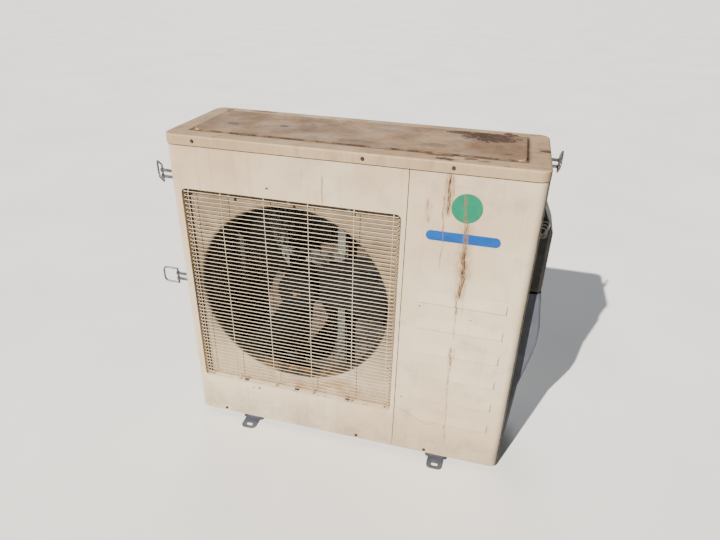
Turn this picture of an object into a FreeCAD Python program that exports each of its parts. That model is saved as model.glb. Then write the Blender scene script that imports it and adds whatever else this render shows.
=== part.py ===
import FreeCAD, Part
import math
import os

# Outdoor unit of a split air-source heat pump, in millimetres.
# +X is to the right seen from the front, +Y runs to the back and +Z is up.
# The origin is on the ground, at the centre of the four foot slots.

# Casing
BODY_W = 990.0
BODY_D = 320.0
FOOT_H = 20.0
TOP_Z = 965.0
SKIRT_H = 28.0
SHEET = 1.2
BEND = 20.0
SEAM_X = 169.0
SEAM_GAP = 2.0
SIDE_X = BODY_W / 2
FRONT_Y = -BODY_D / 2
BACK_Y = BODY_D / 2
PANEL_Z = (FOOT_H, TOP_Z - 7.0)
COVER_CORNER = 30.0
COVER_OVER = 4.0
WRAP_Y = FRONT_Y + 40.0

# Feet and their slots
FOOT_PITCH_X = 624.0
FOOT_PITCH_Y = 366.0
FOOT_W = 50.0
FOOT_PLATE = 2.5
FOOT_TIP_Y = 200.0
SLOT_W = 12.0
SLOT_L = 22.0

# Wedges pressed into the service panel
WEDGE_ROWS = 6
WEDGE_LOWEST_Z = 150.0
WEDGE_PITCH = 83.6
WEDGE_X = (217.0, 450.0)
WEDGE_H = 34.0
WEDGE_PROUD = 3.0

# Fan, its orifice and the guard recess
FAN_X = -160.0
FAN_Z = 490.0
FAN_R = 276.0
THROAT_R = 286.0
LIP_R = 14.0
HUB_R = 62.0
HUB_Y = (-98.0, 0.0)
FAN_REST_TURN = 73.0
RECESS_X = (-465.0, 157.0)
RECESS_Z = (160.0, 813.0)
RECESS_DEPTH = 27.0
RECESS_CORNER = 14.0
RECESS_Y = FRONT_Y + RECESS_DEPTH
COLLAR_Y = -90.0

# Wire guard
WIRE_R = 1.0
WIRE_PITCH = 12.5
WIRE_COUNT = 52
WIRE_BEND = 5.0
WIRE_INSET = 7.0
STAY_OFFSETS = (-291.0, -194.0, -67.0, 59.0, 186.0, 291.0)

# Motor
MOTOR_R = 62.0
MOTOR_Y = (14.0, 100.0)
SHAFT_R = 6.0
RUNNING_GAP = 0.05
RAIL_OFFSET = 95.0
RAIL_W = 25.0
RAIL_Y = (60.0, 75.0)
BAR_OFFSET = 62.0
LUG_R = 84.0

# Coil
COIL_T = 36.0
COIL_BACK_Y = 153.0
COIL_LEFT_X = -489.0
COIL_END_X = 292.0
COIL_FRONT_Y = -112.0
COIL_BEND = 62.0
COIL_Z = (FOOT_H + 1.5, 925.0)
TUBE_R = 4.76
TUBE_PITCH = 25.0

# Compressor compartment
COMP_X = 330.0
COMP_Y = -20.0
COMP_R = 62.0
COMP_Z = (47.0, 290.0)
ACCU_X = 425.0
ACCU_Y = 20.0
ACCU_R = 30.0
VALVE_X = 385.0
VALVE_Y = 95.0
VALVE_Z = 560.0

# Line connections on the right side
PORT_X = 520.0
PORT_Y = (22.0, 40.0)
GAS_Z = 400.0
GAS_R = 11.1
LIQUID_Z = 470.0
LIQUID_R = 7.95

# Rod rings on the sides
RING_R = 2.75
RING_H = 48.0
RING_OUT = 48.0
RING_STANDOFF = 36.0

# Screws
SCREW_HEAD_R = 5.0
COVER_SCREW_X = (-411.0, 52.0, 275.0)
COVER_SCREW_Z = 950.0
BASE_SCREW_X = (-403.0, 52.0, 273.0)
BASE_SCREW_Z = 31.0

nodes = {}


# ---------------------------------------------------------------- helpers

def vec(x, y, z):
    return FreeCAD.Vector(x, y, z)


def block(x, y, z):
    """Box between the limits x, y and z, each (low, high)."""
    return Part.makeBox(x[1] - x[0], y[1] - y[0], z[1] - z[0], vec(x[0], y[0], z[0]))


def rod(start, end, radius):
    """Round bar between two points."""
    run = vec(*end) - vec(*start)
    return Part.makeCylinder(radius, run.Length, vec(*start), run)


def ring(start, end, outer, inner):
    """Round tube between two points."""
    return rod(start, end, outer).cut(rod(start, end, inner))


def rounded(solid, direction, radius):
    """Round the straight edges that run along one direction."""
    along = vec(*direction)
    edges = []
    for edge in solid.Edges:
        if edge.Curve.TypeId != "Part::GeomLine":
            continue
        if abs(abs(edge.tangentAt(edge.FirstParameter).dot(along)) - 1) < 1e-6:
            edges.append(edge)
    return solid.makeFillet(radius, edges)


def path(points, bend):
    """Wire of straight runs joined by tangent arcs."""
    corners = [vec(*point) for point in points]
    edges = []
    start = corners[0]
    for before, corner, after in zip(corners, corners[1:], corners[2:]):
        back = (before - corner).normalize()
        ahead = (after - corner).normalize()
        half = back.getAngle(ahead) / 2
        reach = bend / math.tan(half)
        middle = (back + ahead).normalize() * (bend / math.sin(half) - bend)
        edges.append(Part.LineSegment(start, corner + back * reach).toShape())
        arc = Part.Arc(corner + back * reach, corner + middle, corner + ahead * reach)
        edges.append(arc.toShape())
        start = corner + ahead * reach
    edges.append(Part.LineSegment(start, corners[-1]).toShape())
    return Part.Wire(edges)


def tube(points, radius, bend):
    """Round bar along straight runs joined by arcs."""
    spine = path(points, bend)
    start = vec(*points[0])
    section = Part.Wire(Part.makeCircle(radius, start, vec(*points[1]) - start))
    return spine.makePipeShell([section], True, False)


def bent_sheet(plan, z, bend=BEND, thickness=SHEET):
    """Upright sheet whose outer face follows a plan outline of straight runs and bends."""
    outline = path([(x, y, z[0]) for x, y in plan], bend)
    strip = outline.makeOffset2D(thickness, 0, True, True, False)
    if strip.BoundBox.DiagonalLength > outline.BoundBox.DiagonalLength + 1e-3:
        strip = outline.makeOffset2D(-thickness, 0, True, True, False)
    return strip.extrude(vec(0, 0, z[1] - z[0]))


def drilled(shape, screw_places, direction, radius=2.0):
    """Shape with a hole for each screw."""
    out = vec(*direction) * 12
    for place in screw_places:
        seat = vec(*place)
        shape = shape.cut(rod(tuple(seat - out), tuple(seat + out), radius))
    return shape


def revolved(profile, centre, axis):
    """Solid turned from a closed profile of points."""
    corners = [vec(*point) for point in profile]
    face = Part.Face(Part.makePolygon(corners + corners[:1]))
    return face.revolve(vec(*centre), vec(*axis), 360)


def group(solids):
    """Several separate solids in one node."""
    return Part.makeCompound(solids)


def screw(head, direction, length=12.0, shank=2.0, head_r=SCREW_HEAD_R):
    """Washer-head screw whose head stands on the point and whose shank runs inwards."""
    out = vec(*direction).normalize()
    seat = vec(*head)
    body = Part.makeCylinder(head_r, 1.0, seat, out)
    hexagon = Part.makeCylinder(head_r * 0.72, 3.2, seat, out)
    flats = hexagon.common(hex_bar(seat, out, head_r * 0.64))
    shaft = Part.makeCylinder(shank, length, seat, out * -1)
    return body.fuse([flats, shaft]).removeSplitter()


def hex_bar(seat, out, apothem):
    """Short hexagonal bar standing on a point."""
    side = out.cross(vec(0, 0, 1) if abs(out.z) < 0.9 else vec(1, 0, 0)).normalize()
    up = out.cross(side)
    corner_r = apothem / math.cos(math.pi / 6)
    corners = []
    for step in range(7):
        angle = step * math.pi / 3
        corners.append(seat + side * (corner_r * math.cos(angle)) + up * (corner_r * math.sin(angle)))
    return Part.Face(Part.makePolygon(corners)).extrude(out * 4.0)


# ---------------------------------------------------------------- base and feet

def base_pan():
    """Shallow tray with a collared drain hole and a stiffening bead."""
    x = SIDE_X - SHEET - 0.3
    y = BACK_Y - SHEET - 0.3
    tray = rounded(block((-x, x), (-y, y), (FOOT_H, FOOT_H + 30)), (0, 0, 1), BEND)
    inside = block((-x + 1.5, x - 1.5), (-y + 1.5, y - 1.5), (FOOT_H + 1.5, FOOT_H + 31))
    pan = tray.cut(rounded(inside, (0, 0, 1), BEND - 1.5))
    drain = (90.0, 40.0)
    collar = rod((*drain, FOOT_H - 5), (*drain, FOOT_H + 1.5), 15.5)
    hole = rod((*drain, FOOT_H - 6), (*drain, FOOT_H + 3), 14.0)
    pan = drilled(pan.fuse(collar).cut(hole), front_screw_places(), (0, 1, 0))
    return drilled(pan, side_screw_places(), (1, 0, 0))


def foot_rail(side):
    """Channel across the depth of the unit, with a slotted tab at each end."""
    x = side * FOOT_PITCH_X / 2
    half = FOOT_W / 2
    plate = block((x - half, x + half), (-FOOT_TIP_Y, FOOT_TIP_Y), (0, FOOT_PLATE))
    plate = rounded(plate, (0, 0, 1), 14.0)
    neck = half + 10.0
    middle = block((x - neck, x + neck), (FRONT_Y + 6, BACK_Y - 6), (0, FOOT_PLATE))
    rail = plate.fuse(rounded(middle, (0, 0, 1), 8.0))
    for edge in (-1, 1):
        web_x = x + edge * (half - 4)
        rail = rail.fuse(block((web_x - 1.25, web_x + 1.25), (FRONT_Y + 12, BACK_Y - 12), (0, FOOT_H)))
    for end in (-1, 1):
        rail = rail.cut(foot_slot(x, end * FOOT_PITCH_Y / 2))
        nose = end * (BACK_Y - 12)
        rail = rail.fuse(block((x - half + 4, x + half - 4), sorted((nose, nose - end * 2.5)), (0, FOOT_H)))
    return rail.removeSplitter()


def foot_slot(x, y):
    """Cutter for an oblong hole along X."""
    run = SLOT_L - SLOT_W
    slot = block((x - run / 2, x + run / 2), (y - SLOT_W / 2, y + SLOT_W / 2), (-1, FOOT_PLATE + 1))
    for end in (-1, 1):
        centre_x = x + end * run / 2
        slot = slot.fuse(rod((centre_x, y, -1), (centre_x, y, FOOT_PLATE + 1), SLOT_W / 2))
    return slot


# ---------------------------------------------------------------- casing panels

def front_panel():
    """Front sheet with a sunk recess for the guard and a bell-mouthed fan orifice."""
    plan = [(SEAM_X, FRONT_Y), (-SIDE_X, FRONT_Y), (-SIDE_X, WRAP_Y)]
    panel = bent_sheet(plan, PANEL_Z)
    opening = recess_block(0, FRONT_Y - 5, RECESS_Y)
    tub = recess_block(-SHEET, FRONT_Y, RECESS_Y + SHEET)
    panel = panel.cut(opening).fuse(tub.cut(opening))
    mouth = THROAT_R + LIP_R
    hole = rod((FAN_X, RECESS_Y - 1, FAN_Z), (FAN_X, RECESS_Y + 5, FAN_Z), mouth)
    panel = panel.cut(hole).fuse(orifice_collar()).removeSplitter()
    return drilled(panel, front_screw_places(), (0, 1, 0))


def recess_block(inset, front, back):
    """Rounded block of the recess, made larger all round by a negative inset."""
    x = (RECESS_X[0] + inset, RECESS_X[1] - inset)
    z = (RECESS_Z[0] + inset, RECESS_Z[1] - inset)
    return rounded(block(x, (front, back), z), (0, 1, 0), RECESS_CORNER - inset)


def orifice_collar():
    """Bell mouth and straight throat, turned about the fan axis."""
    inner = collar_edge(LIP_R, THROAT_R, COLLAR_Y)
    outer = collar_edge(LIP_R - SHEET, THROAT_R + SHEET, COLLAR_Y)
    front_rim = Part.LineSegment(inner[0], outer[0]).toShape()
    back_rim = Part.LineSegment(outer[2], inner[2]).toShape()
    edges = collar_curve(inner, LIP_R) + [front_rim, back_rim] + collar_curve(outer, LIP_R - SHEET)
    face = Part.Face(Part.Wire(Part.__sortEdges__(edges)))
    return face.revolve(vec(FAN_X, 0, FAN_Z), vec(0, 1, 0), 360)


def collar_edge(lip, throat, back):
    """Mouth, start of the throat and rear rim of one collar surface."""
    mouth = vec(FAN_X + throat + lip, RECESS_Y if lip == LIP_R else RECESS_Y + SHEET, FAN_Z)
    neck = vec(FAN_X + throat, RECESS_Y + LIP_R, FAN_Z)
    rear = vec(FAN_X + throat, back, FAN_Z)
    return mouth, neck, rear


def collar_curve(points, lip):
    """Quarter arc and straight throat through the points of one surface."""
    mouth, neck, rear = points
    centre = vec(mouth.x, neck.y, FAN_Z)
    diagonal = lip * math.sqrt(0.5)
    middle = vec(centre.x - diagonal, centre.y - diagonal, FAN_Z)
    return [Part.Arc(mouth, middle, neck).toShape(), Part.LineSegment(neck, rear).toShape()]


def service_panel():
    """Flat panel on the right of the front, with shallow wedges pressed out of it."""
    plan = [(SEAM_X + SEAM_GAP, FRONT_Y), (SIDE_X, FRONT_Y), (SIDE_X, WRAP_Y)]
    panel = bent_sheet(plan, PANEL_Z)
    for row in range(WEDGE_ROWS):
        low = WEDGE_LOWEST_Z + row * WEDGE_PITCH
        panel = panel.fuse(pressed_wedge(low))
    return drilled(panel.removeSplitter(), front_screw_places(), (0, 1, 0))


def pressed_wedge(low):
    """Wedge that is flush at its top and stands proud along its lower edge."""
    inner = FRONT_Y + SHEET / 2
    profile = [(WEDGE_X[0], inner, low), (WEDGE_X[0], FRONT_Y - WEDGE_PROUD, low + 0.8),
               (WEDGE_X[0], FRONT_Y, low + WEDGE_H), (WEDGE_X[0], inner, low + WEDGE_H)]
    corners = [vec(*point) for point in profile]
    face = Part.Face(Part.makePolygon(corners + corners[:1]))
    return face.extrude(vec(WEDGE_X[1] - WEDGE_X[0], 0, 0))


def right_side_panel():
    """Right side sheet, bent round the rear corner, with a folded front hem."""
    outer = SIDE_X + SHEET
    plan = [(outer, FRONT_Y + 24), (outer, BACK_Y), (COIL_END_X + 8, BACK_Y)]
    panel = bent_sheet(plan, PANEL_Z, BEND + 2)
    hem_z = (PANEL_Z[0], TOP_Z - SKIRT_H - 2)
    hem = block((outer, outer + 2.3), (FRONT_Y + 24, FRONT_Y + 28), hem_z)
    window = block((SIDE_X - 1, outer + 1), (-45, 85), (350, 560))
    panel = panel.fuse(rounded(hem, (0, 0, 1), 1.1)).cut(window)
    panel = drilled(panel, side_screw_places(), (1, 0, 0))
    return drilled(panel, back_screw_places(), (0, 1, 0))


def corner_post():
    """Angle post at the rear left, between the two coil guards."""
    reach = 30.0
    plan = [(-SIDE_X, BACK_Y - reach), (-SIDE_X, BACK_Y), (-SIDE_X + reach, BACK_Y)]
    return bent_sheet(plan, PANEL_Z)


def top_cover():
    """Lid with a turned-down skirt and a raised plateau."""
    outer = cover_form(0)
    inner = cover_form(SHEET)
    cover = drilled(outer.cut(inner), front_screw_places(), (0, 1, 0))
    return drilled(cover, back_screw_places(), (0, 1, 0))


def cover_form(inset):
    """Solid form of the cover, smaller by an inset; two of them make the sheet."""
    x = SIDE_X + COVER_OVER - inset
    y = BACK_Y + COVER_OVER - inset
    low = TOP_Z - SKIRT_H - (5 if inset else 0)
    lid = rounded(block((-x, x), (-y, y), (low, TOP_Z - inset)), (0, 0, 1), COVER_CORNER - inset)
    lid = lid.makeFillet(6.0 - inset, edges_at(lid, TOP_Z - inset))
    rise = 3.0
    plan_x = 441.0 - inset
    plan_y = (FRONT_Y + 47 + inset, BACK_Y - 45 - inset)
    plateau = block((-plan_x, plan_x), plan_y, (TOP_Z - 5, TOP_Z + rise - inset))
    plateau = rounded(plateau, (0, 0, 1), 35.0 - inset)
    return lid.fuse(plateau.makeFillet(1.5, edges_at(plateau, TOP_Z + rise - inset)))


def edges_at(solid, z):
    """Edges that lie in one level plane."""
    return [edge for edge in solid.Edges if abs(edge.BoundBox.ZMin - z) < 1e-4 and edge.BoundBox.ZLength < 1e-4]


def partition_plate():
    """Wall between the fan chamber and the compressor chamber."""
    plan = [(SEAM_X + 8, FRONT_Y + 3), (SEAM_X + 8, 20), (COIL_END_X - 5, 106)]
    return bent_sheet(plan, (FOOT_H + 1.5, 930), 10.0)


# ---------------------------------------------------------------- fan guard

def fan_guard():
    """Horizontal wires in front of upright stays, all with ends turned back."""
    centre_x = sum(RECESS_X) / 2
    centre_z = sum(RECESS_Z) / 2
    front = FRONT_Y - WIRE_R
    back = RECESS_Y - 0.5
    left = RECESS_X[0] + WIRE_INSET
    right = RECESS_X[1] - WIRE_INSET
    lowest = centre_z - WIRE_PITCH * (WIRE_COUNT - 1) / 2
    outline = [(left, back, lowest), (left, front, lowest), (right, front, lowest), (right, back, lowest)]
    wire = tube(outline, WIRE_R, WIRE_BEND)
    wires = []
    for row in range(WIRE_COUNT):
        level = wire.copy()
        level.translate(vec(0, 0, row * WIRE_PITCH))
        wires.append(level)
    stay_y = front + 2 * WIRE_R
    bottom = RECESS_Z[0] + 3.5
    top = RECESS_Z[1] - 3.5
    for offset in STAY_OFFSETS:
        x = centre_x + offset
        run = [(x, back, bottom), (x, stay_y, bottom), (x, stay_y, top), (x, back, top)]
        wires.append(tube(run, WIRE_R, WIRE_BEND))
    return group(wires)


def guard_clips():
    """Spring clips that hold the guard at the top and bottom of the recess."""
    clips = []
    for x in (-325.0, -151.0, 17.0):
        for z, down in ((RECESS_Z[1], -1), (RECESS_Z[0], 1)):
            plate = block((x - 6, x + 6), (FRONT_Y + 5, RECESS_Y - 2), sorted((z, z + down * 1.5)))
            tongue_y = (FRONT_Y + 5, FRONT_Y + 6.5)
            tongue = block((x - 4, x + 4), tongue_y, sorted((z, z + down * 13.0)))
            clips.append(plate.fuse(tongue).removeSplitter())
    return group(clips)


# ---------------------------------------------------------------- fan and motor

def axial_fan():
    """Hub and three swept blades in one moulding."""
    hub = rod((FAN_X, HUB_Y[0], FAN_Z), (FAN_X, HUB_Y[1], FAN_Z), HUB_R)
    hub = hub.makeFillet(12.0, [edge for edge in hub.Edges if edge.BoundBox.YMax < HUB_Y[0] + 1])
    bowl = rod((FAN_X, HUB_Y[0] + 5, FAN_Z), (FAN_X, HUB_Y[1] + 1, FAN_Z), HUB_R - 4)
    boss = rod((FAN_X, HUB_Y[0] + 2, FAN_Z), (FAN_X, HUB_Y[1] - 6, FAN_Z), 16.0)
    hub = hub.cut(bowl).fuse(boss)
    for spoke in range(6):
        rib = block((12, HUB_R - 2), (HUB_Y[0] + 3, HUB_Y[1] - 20), (-1.5, 1.5))
        rib.rotate(vec(0, 0, 0), vec(0, 1, 0), spoke * 60)
        rib.translate(vec(FAN_X, 0, FAN_Z))
        hub = hub.fuse(rib)
    tip = rod((FAN_X, -130, FAN_Z), (FAN_X, 30, FAN_Z), FAN_R)
    core = rod((FAN_X, -130, FAN_Z), (FAN_X, 30, FAN_Z), HUB_R - 2)
    blade = fan_blade().common(tip).cut(core)
    for turn in range(3):
        wing = blade.copy()
        wing.rotate(vec(FAN_X, 0, FAN_Z), vec(0, 1, 0), FAN_REST_TURN + turn * 120)
        hub = hub.fuse(wing)
    bore = rod((FAN_X, HUB_Y[0] - 1, FAN_Z), (FAN_X, HUB_Y[1] + 1, FAN_Z), SHAFT_R)
    return hub.cut(bore)


def fan_blade():
    """Blade lofted through flat sections from the hub to past the tip."""
    radii = (50.0, 120.0, 205.0, 292.0)
    chords = (78.0, 112.0, 162.0, 212.0)
    sweeps = (0.0, 8.0, 28.0, 64.0)
    fronts = (-88.0, -96.0, -102.0, -106.0)
    backs = (-14.0, -14.0, -12.0, -10.0)
    sections = []
    for radius, chord, sweep, front, back in zip(radii, chords, sweeps, fronts, backs):
        sections.append(blade_section(radius, chord, sweep, front, back))
    return Part.makeLoft(sections, True, False)


def blade_section(radius, chord, sweep, front, back):
    """Closed cambered section in the plane that touches the cylinder of this radius."""
    thickness = 4.0
    steps = 6
    top = []
    bottom = []
    for step in range(steps + 1):
        share = step / steps
        x = FAN_X + sweep + chord * (share - 0.5)
        y = back + (front - back) * share - 0.07 * chord * math.sin(math.pi * share)
        half = thickness * (0.25 + 0.75 * math.sin(math.pi * min(0.5, share + 0.08))) / 2
        top.append(vec(x, y - half, FAN_Z + radius))
        bottom.append(vec(x, y + half, FAN_Z + radius))
    upper = Part.BSplineCurve()
    upper.interpolate(top)
    lower = Part.BSplineCurve()
    lower.interpolate(bottom)
    nose = Part.LineSegment(top[-1], bottom[-1]).toShape()
    tail = Part.LineSegment(bottom[0], top[0]).toShape()
    return Part.Wire(Part.__sortEdges__([upper.toShape(), nose, lower.toShape(), tail]))


def on_axis(y):
    """Point on the fan axis."""
    return (FAN_X, y, FAN_Z)


def fan_nut():
    """Domed nut and washer that hold the fan on its shaft."""
    nut = hex_bar(vec(FAN_X, HUB_Y[0] - 1.5, FAN_Z), vec(0, -1, 0), 8.5)
    washer = rod(on_axis(HUB_Y[0]), on_axis(HUB_Y[0] - 1.5), 14.0)
    dome = rod(on_axis(HUB_Y[0] - 5), on_axis(HUB_Y[0] - 12), 7.5)
    dome = dome.makeFillet(5.0, [edge for edge in dome.Edges if edge.BoundBox.YMax < HUB_Y[0] - 11])
    bore = rod(on_axis(HUB_Y[0] + 1), on_axis(HUB_Y[0] - 9), SHAFT_R)
    return washer.fuse([nut, dome]).cut(bore)


def motor_shaft():
    """Shaft from the nut to the rear bearing."""
    return rod(on_axis(HUB_Y[0] - 8.9), on_axis(MOTOR_Y[1] - 8), SHAFT_R)


def motor_rotor():
    """Magnet rotor on the shaft."""
    return ring(on_axis(MOTOR_Y[0] + 24), on_axis(MOTOR_Y[1] - 24), 34.0, SHAFT_R)


def motor_housing():
    """Cup-shaped housing with four lugs and bearing seats."""
    shell = rod(on_axis(MOTOR_Y[0] + 8), on_axis(MOTOR_Y[1]), MOTOR_R)
    shell = shell.makeFillet(8.0, [edge for edge in shell.Edges if edge.BoundBox.YMin > MOTOR_Y[1] - 1])
    shell = shell.cut(rod(on_axis(MOTOR_Y[0] + 7), on_axis(MOTOR_Y[1] - 6), MOTOR_R - 4))
    seat = ring(on_axis(MOTOR_Y[1] - 18), on_axis(MOTOR_Y[1] - 5), 19.0, 16.0)
    shell = shell.fuse(seat)
    for angle in (45, 135, 225, 315):
        lug = block((MOTOR_R - 3, LUG_R + 9), (RAIL_Y[0] - 6, RAIL_Y[0] - 3), (-11, 11))
        lug = rounded(lug, (0, 1, 0), 4.0)
        lug = lug.cut(rod((LUG_R, RAIL_Y[0] - 8, 0), (LUG_R, RAIL_Y[0], 0), 3.2))
        lug.rotate(vec(0, 0, 0), vec(0, 1, 0), angle)
        lug.translate(vec(FAN_X, 0, FAN_Z))
        shell = shell.fuse(lug.cut(rod(on_axis(0), on_axis(90), MOTOR_R - 1)))
    return shell


def motor_end_cap():
    """Front cap of the motor, with the front bearing seat."""
    cap = rod(on_axis(MOTOR_Y[0]), on_axis(MOTOR_Y[0] + 8), MOTOR_R)
    cap = cap.makeFillet(5.0, [edge for edge in cap.Edges if edge.BoundBox.YMax < MOTOR_Y[0] + 1])
    seat = rod(on_axis(MOTOR_Y[0] + 7), on_axis(MOTOR_Y[0] + 18), 19.0)
    bore = rod(on_axis(MOTOR_Y[0] + 5), on_axis(MOTOR_Y[0] + 19), 16.0)
    hole = rod(on_axis(MOTOR_Y[0] - 1), on_axis(MOTOR_Y[0] + 9), 9.0)
    return cap.fuse(seat).cut(bore).cut(hole)


def motor_stator():
    """Wound stator ring in the housing."""
    return ring(on_axis(MOTOR_Y[0] + 22), on_axis(MOTOR_Y[1] - 22), MOTOR_R - 4, 34.6)


def motor_bearings():
    """Two shaft bearings."""
    inner = SHAFT_R + RUNNING_GAP
    front = ring(on_axis(MOTOR_Y[0] + 5.2), on_axis(MOTOR_Y[0] + 16), 16.0, inner)
    rear = ring(on_axis(MOTOR_Y[1] - 18), on_axis(MOTOR_Y[1] - 7), 16.0, inner)
    return group([front, rear])


def motor_rail(side):
    """Upright channel of the motor frame; the left one has a row of slots."""
    x = FAN_X + side * RAIL_OFFSET
    half = RAIL_W / 2
    z = (FOOT_H + 1.5, 930.0)
    rail = block((x - half, x + half), RAIL_Y, z)
    rail = rail.cut(block((x - half + 1.5, x + half - 1.5), (RAIL_Y[0] + 1.5, RAIL_Y[1] + 1), z))
    if side < 0:
        for row in range(17):
            low = 90.0 + row * 48
            rail = rail.cut(block((x - 4, x + 4), (RAIL_Y[0] - 1, RAIL_Y[0] + 2), (low, low + 26)))
    return rail


def motor_bar(side):
    """Cross plate between the rails, with an arc that clears the motor."""
    z = FAN_Z + side * BAR_OFFSET
    plate_x = (FAN_X - RAIL_OFFSET - 12, FAN_X + RAIL_OFFSET + 12)
    plate = block(plate_x, (RAIL_Y[0] - 3, RAIL_Y[0]), (z - 15, z + 15))
    lip = block(plate_x, (RAIL_Y[0] - 9, RAIL_Y[0] - 3), sorted((z + side * 15, z + side * 13.5)))
    bar = plate.fuse(lip).removeSplitter()
    bar = bar.cut(rod(on_axis(0), on_axis(110), MOTOR_R + 1.5))
    reach = LUG_R * math.sqrt(0.5)
    for end in (-1, 1):
        point = (FAN_X + end * reach, RAIL_Y[0] - 8, FAN_Z + side * reach)
        bar = bar.cut(rod(point, (point[0], RAIL_Y[0] + 1, point[2]), 3.2))
    return bar


def motor_screws():
    """Four screws through the motor's lugs."""
    reach = LUG_R * math.sqrt(0.5)
    screws = []
    for side_x in (-1, 1):
        for side_z in (-1, 1):
            point = (FAN_X + side_x * reach, RAIL_Y[0] - 6, FAN_Z + side_z * reach)
            screws.append(screw(point, (0, -1, 0), 9.0, 3.0, 6.0))
    return group(screws)


# ---------------------------------------------------------------- coil

def coil_plan():
    """Outer plan of the coil from its front left end to its right end."""
    return [(COIL_LEFT_X, COIL_FRONT_Y), (COIL_LEFT_X, COIL_BACK_Y), (COIL_END_X, COIL_BACK_Y)]


def condenser_fins():
    """Bent block of the finned coil."""
    return bent_sheet(coil_plan(), COIL_Z, COIL_BEND, COIL_T)


def coil_end_plates():
    """Sheet plates at the two ends of the coil."""
    right = block((COIL_END_X, COIL_END_X + 1.5), (COIL_BACK_Y - COIL_T - 4, COIL_BACK_Y + 0.5), COIL_Z)
    left = block((COIL_LEFT_X - 0.5, COIL_LEFT_X + COIL_T + 4), (COIL_FRONT_Y - 1.5, COIL_FRONT_Y), COIL_Z)
    return group([right, left])


def return_bends(at_right):
    """Column of U bends that join the coil's tubes outside an end plate."""
    if at_right:
        x = COIL_END_X + 1.5
        y = COIL_BACK_Y - COIL_T / 2
        legs = [(x, y), (x + 10, y), (x + 22, y)]
    else:
        x = COIL_LEFT_X + COIL_T / 2
        y = COIL_FRONT_Y - 1.5
        legs = [(x, y), (x, y - 10), (x, y - 22)]
    start, _, far = legs
    low = COIL_Z[0] + 30
    bend = tube([(*start, low), (*far, low), (*far, low + TUBE_PITCH), (*start, low + TUBE_PITCH)],
                TUBE_R, TUBE_PITCH / 2 - 0.01)
    bends = []
    for row in range(17):
        level = bend.copy()
        level.translate(vec(0, 0, row * TUBE_PITCH * 2))
        bends.append(level)
    return bends


def coil_guard(at_back):
    """Grid of upright and level wires over one face of the coil."""
    z = (FOOT_H + 34, TOP_Z - SKIRT_H - 4)
    wires = []
    if at_back:
        run = (-SIDE_X + 34, COIL_END_X + 4)
        uprights = 19
    else:
        run = (WRAP_Y + 6, BACK_Y - 34)
        uprights = 7
    step = (run[1] - run[0] - 2 * WIRE_R) / (uprights - 1)
    for number in range(uprights):
        along = run[0] + WIRE_R + number * step
        wires.append(guard_rod(at_back, along, along, z[0], z[1], 0))
    for number in range(12):
        level = z[0] + 8 + number * (z[1] - z[0] - 16) / 11
        wires.append(guard_rod(at_back, run[0], run[1], level, level, 2 * WIRE_R))
    return wires


def guard_rod(at_back, along_a, along_b, z_a, z_b, outwards):
    """One wire of a coil guard."""
    if at_back:
        y = BACK_Y - 4.5 + outwards
        return rod((along_a, y, z_a), (along_b, y, z_b), WIRE_R)
    x = -SIDE_X + 3.5 - outwards
    return rod((x, along_a, z_a), (x, along_b, z_b), WIRE_R)


# ---------------------------------------------------------------- refrigerant circuit

def turned_z(profile, x, y):
    """Solid turned about an upright axis from (radius, z) points."""
    return revolved([(x + radius, y, z) for radius, z in profile], (x, y, 0), (0, 0, 1))


def compressor_shell():
    """Hollow upright shell with chamfered ends on a three-eared foot."""
    low, high = COMP_Z
    wall = 3.5
    outer = [(0, low), (44, low), (COMP_R, low + 16), (COMP_R, high), (48, high + 26), (20, high + 36), (0, high + 38)]
    inner = [(0, low + wall), (42, low + wall), (COMP_R - wall, low + 18), (COMP_R - wall, high - 1),
             (46, high + 23), (19, high + 32), (0, high + 34)]
    shell = turned_z(outer, COMP_X, COMP_Y).cut(turned_z(inner, COMP_X, COMP_Y))
    foot = rod((COMP_X, COMP_Y, low - 4), (COMP_X, COMP_Y, low), 58.0)
    for x, y in compressor_stud_places():
        foot = foot.fuse(rod((x, y, low - 4), (x, y, low), 18.0))
        arm = block((0, 90), (-16, 16), (low - 4, low))
        arm.rotate(vec(0, 0, 0), vec(0, 0, 1), math.degrees(math.atan2(y - COMP_Y, x - COMP_X)))
        arm.translate(vec(COMP_X, COMP_Y, 0))
        foot = foot.fuse(arm)
    for x, y in compressor_stud_places():
        foot = foot.cut(rod((x, y, low - 6), (x, y, low + 2), 9.0))
    return shell.fuse(foot)


def compressor_stud_places():
    """Plan places of the three studs."""
    places = []
    for angle in (90, 210, 330):
        turn = math.radians(angle)
        places.append((COMP_X + 92 * math.cos(turn), COMP_Y + 92 * math.sin(turn)))
    return places


def compressor_grommets():
    """Rubber feet between the pan and the compressor's foot."""
    grommets = []
    for x, y in compressor_stud_places():
        base = rod((x, y, FOOT_H + 1.5), (x, y, COMP_Z[0] - 4), 15.0)
        neck = rod((x, y, COMP_Z[0] - 4), (x, y, COMP_Z[0] + 3), 8.8)
        hole = rod((x, y, FOOT_H), (x, y, COMP_Z[0] + 5), 4.2)
        grommets.append(base.fuse(neck).cut(hole))
    return group(grommets)


def compressor_studs():
    """Studs with nuts and washers that hold the compressor down."""
    studs = []
    for x, y in compressor_stud_places():
        stud = rod((x, y, FOOT_H + 1.5), (x, y, COMP_Z[0] + 18), 4.0)
        washer = ring((x, y, COMP_Z[0] + 3), (x, y, COMP_Z[0] + 5), 12.0, 4.0)
        nut = hex_bar(vec(x, y, COMP_Z[0] + 5), vec(0, 0, 1), 6.5)
        studs.append(stud.fuse([washer, nut]))
    return group(studs)


def compressor_stator():
    """Motor windings pressed into the shell."""
    bottom = (COMP_X, COMP_Y, 165)
    return ring(bottom, (COMP_X, COMP_Y, 250), COMP_R - 3.5, 33.0)


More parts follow.
